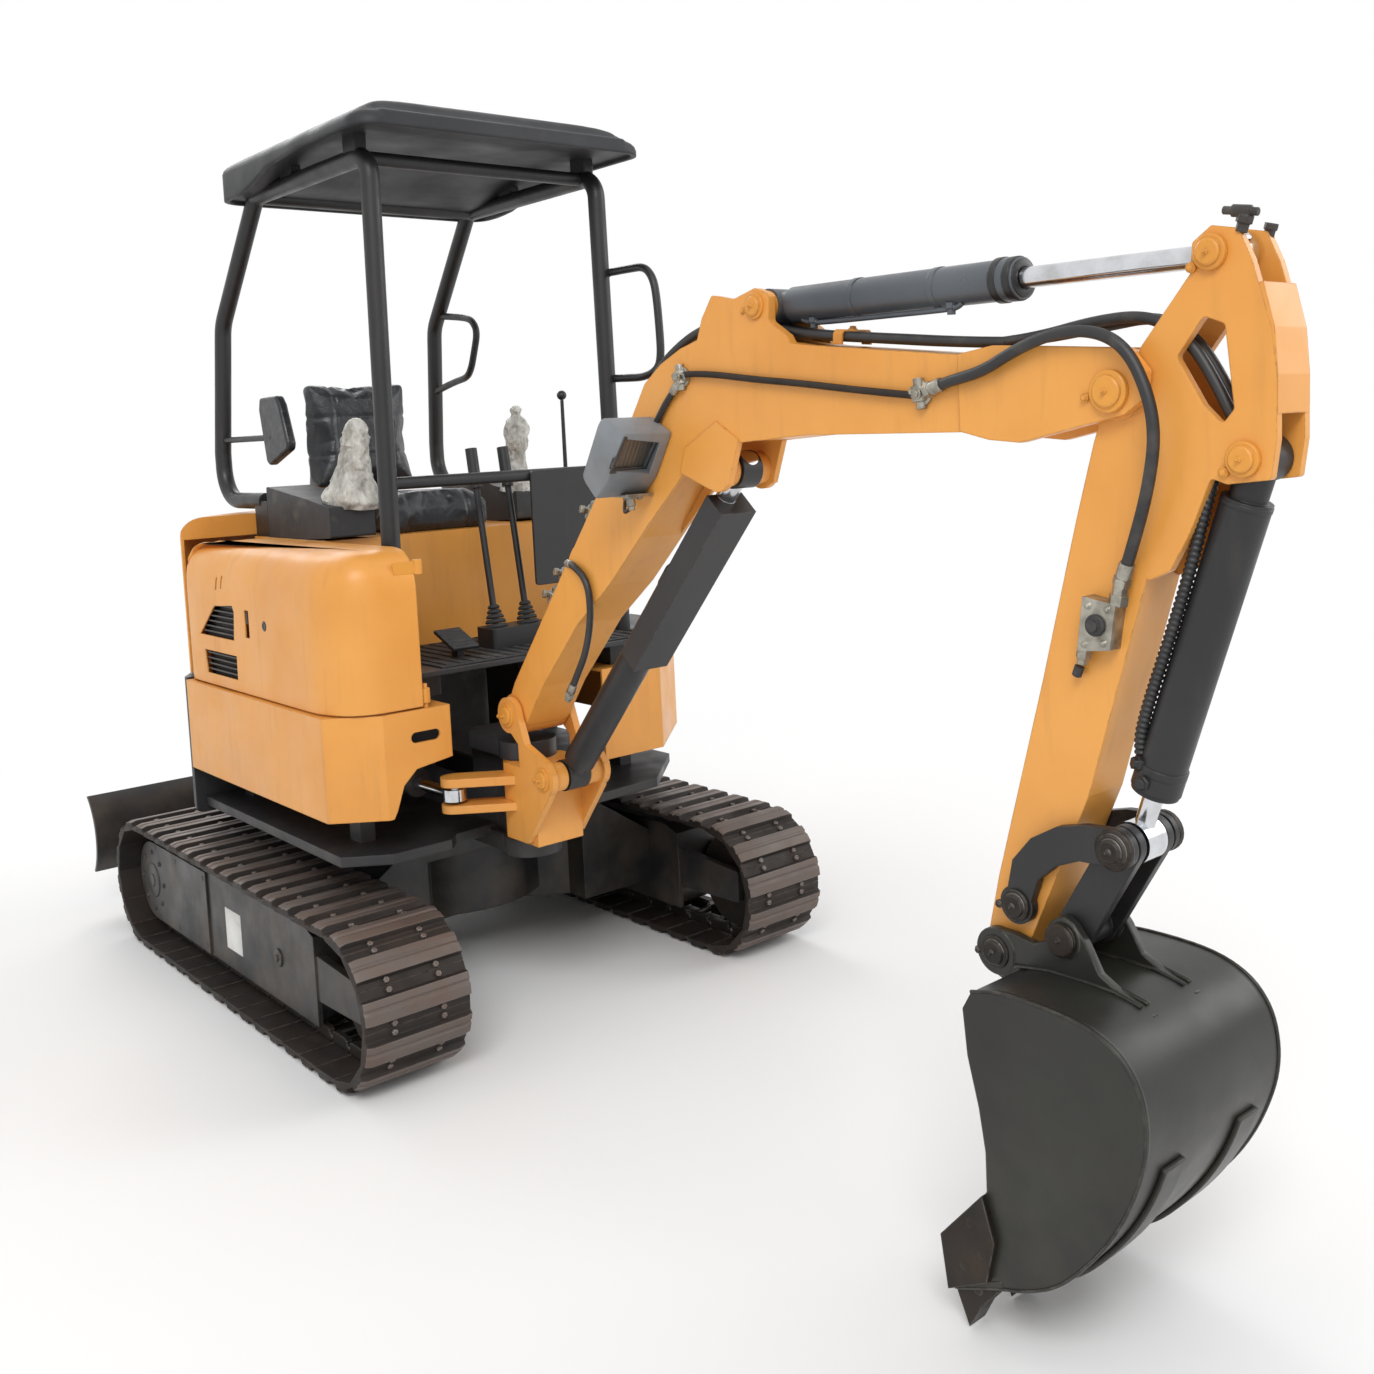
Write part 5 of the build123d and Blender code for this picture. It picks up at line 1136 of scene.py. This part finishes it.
for a, b in zip(rows, rows[1:]):
    for i in range(len(plan) - 1):
        bm.faces.new((a[i], a[i + 1], b[i + 1], b[i]))
bm.faces.new(rows[-1])
bmesh.ops.remove_doubles(bm, verts=bm.verts, dist=0.0002)
made = piece("cover_shell", bm, "side_cover", "yellow", angle=35)
thick = made.modifiers.new("sheet", "SOLIDIFY")
thick.thickness = 4 * MM
thick.offset = -1
GRILLES = (
    ((186, 880), (-30, 880), (-32, 944), (196, 944)),
    ((222, 985), (-22, 985), (-34, 1062), (-24, 1078), (104, 1070)),
)
cutter = bmesh.new()
for outline in GRILLES:
    side_slab(cutter, outline, CX - 20, CX + 30)
for k in range(2):  # the two slanted slots
    y, z = 80 - 36 * k, 1132 + 5 * k
    side_slab(cutter, ((y + 9, z - 16), (y, z - 18), (y - 9, z + 16), (y, z + 18)), CX - 20, CX + 30)
side_slab(cutter, ((-104, 1000), (-132, 1000), (-132, 1072), (-104, 1072)), CX - 20, CX + 30)
cut_out(made, cutter)
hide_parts("cover_right")
bm = bmesh.new()
for outline in GRILLES:
    low_z, high_z = min(z for y, z in outline), max(z for y, z in outline)
    front, rear = min(y for y, z in outline), max(y for y, z in outline)
    z = low_z + 8
    while z < high_z - 4:
        side_slab(
            bm, ((rear - 2, z), (front + 2, z), (front + 2, z + 1.5), (rear - 2, z + 1.5)), CX + 4, CX + 17,
        )
        side_slab(
            bm, ((rear - 2, z), (front + 2, z), (front + 2, z + 6), (rear - 2, z + 6)), CX + 4, CX + 5.5,
        )
        z += 15
    side_slab(
        bm, ((rear + 8, low_z - 8), (front - 8, low_z - 8), (front - 8, high_z + 8), (rear + 8, high_z + 8)),
        CX + 18, CX + 20,
    )
piece("cover_grilles", bm, "side_cover", "mesh")
bm = bmesh.new()
side_slab(bm, ((-98, 994), (-138, 994), (-138, 1078), (-98, 1078)), CX + 16, CX + 19)
block(bm, (CX + 1, -122, 1036), (CX + 16, -114, 1068))
lathe(bm, (CX + 3, -232, 1040), (-1, 0, 0), ((-1, 14), (2.6, 14), (4.4, 12), (4.6, 7), (3.4, 6)), 24)
piece("cover_latch", bm, "side_cover", "black", 1.0)
bm = bmesh.new()
for z in (COVER_LOW[2] + 24, 1188):
    lathe(bm, (-386, -634, z - 18), (0, 0, 1), ((0, 11), (1, 12), (35, 12), (36, 11)), 18)
    prism(
        bm, [(-394, -640, z - 15), (-452, -640, z - 15), (-452, -634, z - 15), (-394, -634, z - 15)],
        (0, 0, 30),
    )
piece("cover_hinges", bm, "side_cover", "pin", 0.8)

# ---------------------------------------------------------------- seat
CLOTH_FRAMES = 20
MOST_SWELL = 22 * MM


def cushion(name, outline, x0, x1, rest, push, seams):
    bm = bmesh.new()
    side_slab(bm, outline, x0, x1)
    obj = piece(name, bm, "upper", "vinyl", angle=180)
    round_it = obj.modifiers.new("round", "BEVEL")
    round_it.width = 20 * MM
    round_it.segments = 3
    remesh = obj.modifiers.new("remesh", "REMESH")
    remesh.mode = "VOXEL"
    remesh.voxel_size = 7 * MM
    made = evaluated_mesh(obj)
    obj.modifiers.clear()
    obj.data = made
    before = [v.co.copy() for v in made.vertices]
    cloth = obj.modifiers.new("cloth", "CLOTH")
    settings = cloth.settings
    settings.use_pressure = True
    settings.uniform_pressure_force = push
    settings.effector_weights.gravity = 0
    settings.tension_stiffness = settings.compression_stiffness = 30
    settings.mass = 0.3
    cloth.point_cache.frame_start, cloth.point_cache.frame_end = 1, CLOTH_FRAMES
    for frame_number in range(1, CLOTH_FRAMES + 1):
        scene.frame_set(frame_number)
    made = evaluated_mesh(obj)
    obj.modifiers.clear()
    scene.frame_set(1)
    for vertex, start in zip(made.vertices, before):
        move = vertex.co - start
        if move.length > MOST_SWELL:
            vertex.co = start + move * (MOST_SWELL / move.length)
        if rest is not None and vertex.co.z < rest * MM:
            vertex.co.z = rest * MM
    obj.data = made
    middle = [sum(c) / len(outline) * MM for c in zip(*outline)]
    centre = Vector(((x0 + x1) / 2 * MM, *middle))
    for axis, place, width, depth in seams:
        for vertex in obj.data.vertices:
            gap = abs(vertex.co[axis] - place * MM) / (width * MM)
            if gap < 1:
                away = vertex.co - centre
                away[axis] = 0
                vertex.co -= away.normalized() * depth * MM * (1 - gap * gap) ** 2
    obj.data.materials.clear()
    obj.data.materials.append(MAT["vinyl"])
    for face in obj.data.polygons:
        face.use_smooth = True
    smooth = obj.modifiers.new("smooth", "SUBSURF")
    smooth.levels = smooth.render_levels = 1
    return obj


low, high = box_mm("seat_cushion")
made = cushion(
    "seat_pad",
    (
        (high[1] - 14, low[2] + 4), (low[1] + 14, low[2] + 4), (low[1] + 14, high[2] - 24),
        (low[1] + 60, high[2] - 12), (high[1] - 14, high[2] - 18),
    ),
    low[0] + 12, high[0] - 12, low[2] + 1, 4.0,
    (
        (0, (low[0] + high[0]) / 2 - 92, 9, 6), (0, (low[0] + high[0]) / 2 + 92, 9, 6), (1, -40, 9, 5),
        (1, 120, 9, 5),
    ),
)
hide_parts("seat_cushion")
low, high = box_mm("seat_back")
MID_X = (low[0] + high[0]) / 2
made = cushion(
    "seat_back_pad",
    ((314, 1362), (340, 1500), (352, 1672), (372, 1680), (404, 1672), (406, 1480), (402, 1360)), low[0] + 14,
    high[0] - 14, None, 2.2, ((0, MID_X - 86, 9, 6), (0, MID_X + 86, 9, 6), (2, 1460, 9, 5), (2, 1575, 9, 5)),
)
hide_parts("seat_back")
bm = bmesh.new()
for x in (-90, 60):
    side_slab(bm, ((292, 1237), (334, 1237), (352, 1372), (304, 1372)), MID_X + x, MID_X + x + 30)
block(bm, (MID_X - 92, 296, 1238), (MID_X + 92, 332, 1252))
piece("seat_stay", bm, "upper", "black", 2.0)

# ---------------------------------------------------------------- wraps on the sticks, levers, floor


def wrapped(bm, place, axis, profile, seed):
    """Loose film around a stick: a turned form crumpled by noise."""
    axis = Vector(axis).normalized()
    around = spokes(axis, 72)
    rings = []
    for point in catmull([(a, r, 0) for a, r in profile]):
        points = []
        for spoke in around:
            spot = Vector(place) + axis * point.x + spoke * max(point.y, 1.0)
            push = noise.ridged_multi_fractal(spot / 34 + Vector((seed, 0, 0)), 0.9, 2.1, 3, 1.0, 2.0) - 1.2
            points.append(spot + spoke * push * 7.0 * min(1.0, point.y / 30))
        rings.append(ring(bm, points))
    skin(bm, rings)


# side, foot, axis, profile, and the seed of the crumples
WRAPS = (
    (
        "right", (-300, -125, 1322), (0.05, -0.16, 1),
        ((2, 74), (24, 80), (58, 66), (96, 48), (140, 40), (180, 38), (208, 34), (228, 24), (240, 10)),
        3.0,
    ),
    (
        "left", (300, -5, 1330), (-0.05, -0.16, 1),
        ((0, 52), (30, 48), (70, 32), (110, 27), (150, 36), (190, 38), (214, 28), (230, 15), (246, 18), (258, 8)),
        8.0,
    ),
)
for word, place, axis, profile, seed in WRAPS:
    bm = bmesh.new()
    wrapped(bm, place, axis, profile, seed)
    piece("stick_wrap_" + word, bm, "upper", "film", angle=28)
bm = bmesh.new()
for foot, top, ball in (
    ((283, -300, 1360), (283, -300, 1590), 14), ((417, -300, 1360), (436, -310, 1560), 11),
):
    stick = Vector(top) - Vector(foot)
    lathe(bm, foot, stick, ((-10, 16), (0, 18), (20, 12), (24, 6), (stick.length, 5)), 14)
    steps = [(ball * (1 - math.cos(math.pi * i / 10)), ball * math.sin(math.pi * i / 10)) for i in range(11)]
    lathe(bm, top, stick, steps, 18)
piece("knob_levers", bm, "upper", "black", angle=50)
bm = bmesh.new()
for x in (-30, 70):
    for k in range(5):
        lathe(
            bm, (x, -390 + 0.16 * (10 + 13 * k), 982 + 13 * k - 8), (0, 0.16, 1),
            ((0, 30 - 4 * k), (4, 33 - 4 * k), (9, 30 - 4 * k), (12, 26 - 4 * k)), 20,
        )
piece("lever_boots", bm, "upper", "mat", angle=50)
bm = bmesh.new()
low, high = box_mm("floor_plate")
top = high[2]
block(bm, (-300, -570, top), (380, -178, top + 4))
for k in range(18):
    x = -280 + 37 * k
    block(bm, (x, -556, top + 3.5), (x + 18, -190, top + 7))
piece("floor_mat", bm, "upper", "mat", 1.0)
bm = bmesh.new()
for x in (-190, 220):
    prism(
        bm,
        [
            (x - 38, -500, top + 26), (x + 38, -500, top + 26), (x + 38, -400, top + 66),
            (x - 38, -400, top + 66),
        ],
        (0, -3, 8),
    )
    for k in range(5):
        y = -490 + 18 * k
        block(bm, (x - 36, y, top + 38 + 7.2 * k), (x + 36, y + 6, top + 42 + 7.2 * k))
    prism(
        bm, [(x - 10, -470, top), (x + 10, -470, top), (x + 10, -440, top), (x - 10, -440, top)], (0, 0, 46),
    )
piece("pedals", bm, "upper", "black", 1.0)

# ---------------------------------------------------------------- floor, light, camera
WHITE = (1, 1, 1, 1)


def studio():
    bpy.ops.mesh.primitive_plane_add(size=80.0, location=(0, 0, 0))
    floor = bpy.context.object
    floor.name = "floor"
    n = Nodes("floor_white")
    n.out(srgb(246, 246, 246), 0.95)
    # far from the object the camera and mirrors see plain white, close to it the lit floor with its shadows
    far = n.ramp(n.vector("LENGTH", n.vector("SUBTRACT", n.coord, (0.0, -0.6, 0.0))), 2.3, 4.2)
    path = n.add("ShaderNodeLightPath").outputs
    seen = n.math(
        "ADD", n.math("ADD", path["Is Camera Ray"], path["Is Glossy Ray"]), path["Is Transmission Ray"],
    )
    white = n.add("ShaderNodeEmission", Color=WHITE, Strength=1.0)
    share = n.math("MULTIPLY", seen, far)
    near = wired(n.tree, "ShaderNodeMixShader", share, n.bsdf.outputs[0], white.outputs[0])
    n.tree.links.new(near.outputs[0], n.tree.nodes["Material Output"].inputs["Surface"])
    floor.data.materials.append(n.mat)
    world = scene.world = scene.world or bpy.data.worlds.new("studio")
    world.use_nodes = True
    tree = world.node_tree
    tree.nodes.clear()
    path = tree.nodes.new("ShaderNodeLightPath").outputs
    seen = path["Is Camera Ray"]
    for ray in ("Is Glossy Ray", "Is Transmission Ray"):
        seen = wired(tree, "ShaderNodeMath", seen, path[ray], operation="MAXIMUM").outputs[0]
    soft, plain = (
        wired(tree, "ShaderNodeBackground", WHITE, strength).outputs[0]
        for strength in (0.66, 1.0)
    )
    mix = wired(tree, "ShaderNodeMixShader", seen, soft, plain)
    wired(tree, "ShaderNodeOutputWorld", mix.outputs[0])


def lamp(name, place, target, size, power):
    light = bpy.data.lights.new(name, "AREA")
    light.shape = "RECTANGLE"
    light.size, light.size_y = size
    light.energy = power
    obj = bpy.data.objects.new(name, light)
    scene.collection.objects.link(obj)
    obj.location = place
    obj.rotation_euler = (Vector(target) - Vector(place)).to_track_quat("-Z", "Y").to_euler()


studio()
lamp("key", (-4.5, -6.0, 6.5), (0, -0.6, 0.9), (4.0, 3.0), 330)
lamp("fill", (6.0, -4.5, 4.0), (0, -0.5, 0.8), (4.0, 4.0), 130)
lamp("rim", (1.0, 5.5, 5.5), (0, 0, 1.0), (5.0, 3.0), 170)
scene.view_settings.view_transform = "Standard"

YAW, PITCH, ROLL = math.radians(40.838), math.radians(4.778), -0.04491
look = Vector((math.sin(YAW) * math.cos(PITCH), math.cos(YAW) * math.cos(PITCH), -math.sin(PITCH)))
right = Vector((math.cos(YAW), -math.sin(YAW), 0.0))
up = right.cross(look)
right, up = right * math.cos(ROLL) + up * math.sin(ROLL), up * math.cos(ROLL) - right * math.sin(ROLL)
camera_data = bpy.data.cameras.new("camera")
camera = bpy.data.objects.new("camera", camera_data)
scene.collection.objects.link(camera)
turned = Matrix((right, up, -look)).transposed().to_4x4()
camera.matrix_world = Matrix.Translation((-1.9773, -3.6575, 1.4800)) @ turned
camera_data.sensor_width = 36.0
camera_data.lens = 36.31
camera_data.shift_x = -0.0364
camera_data.shift_y = -0.1022
camera_data.clip_end = 100
scene.camera = camera
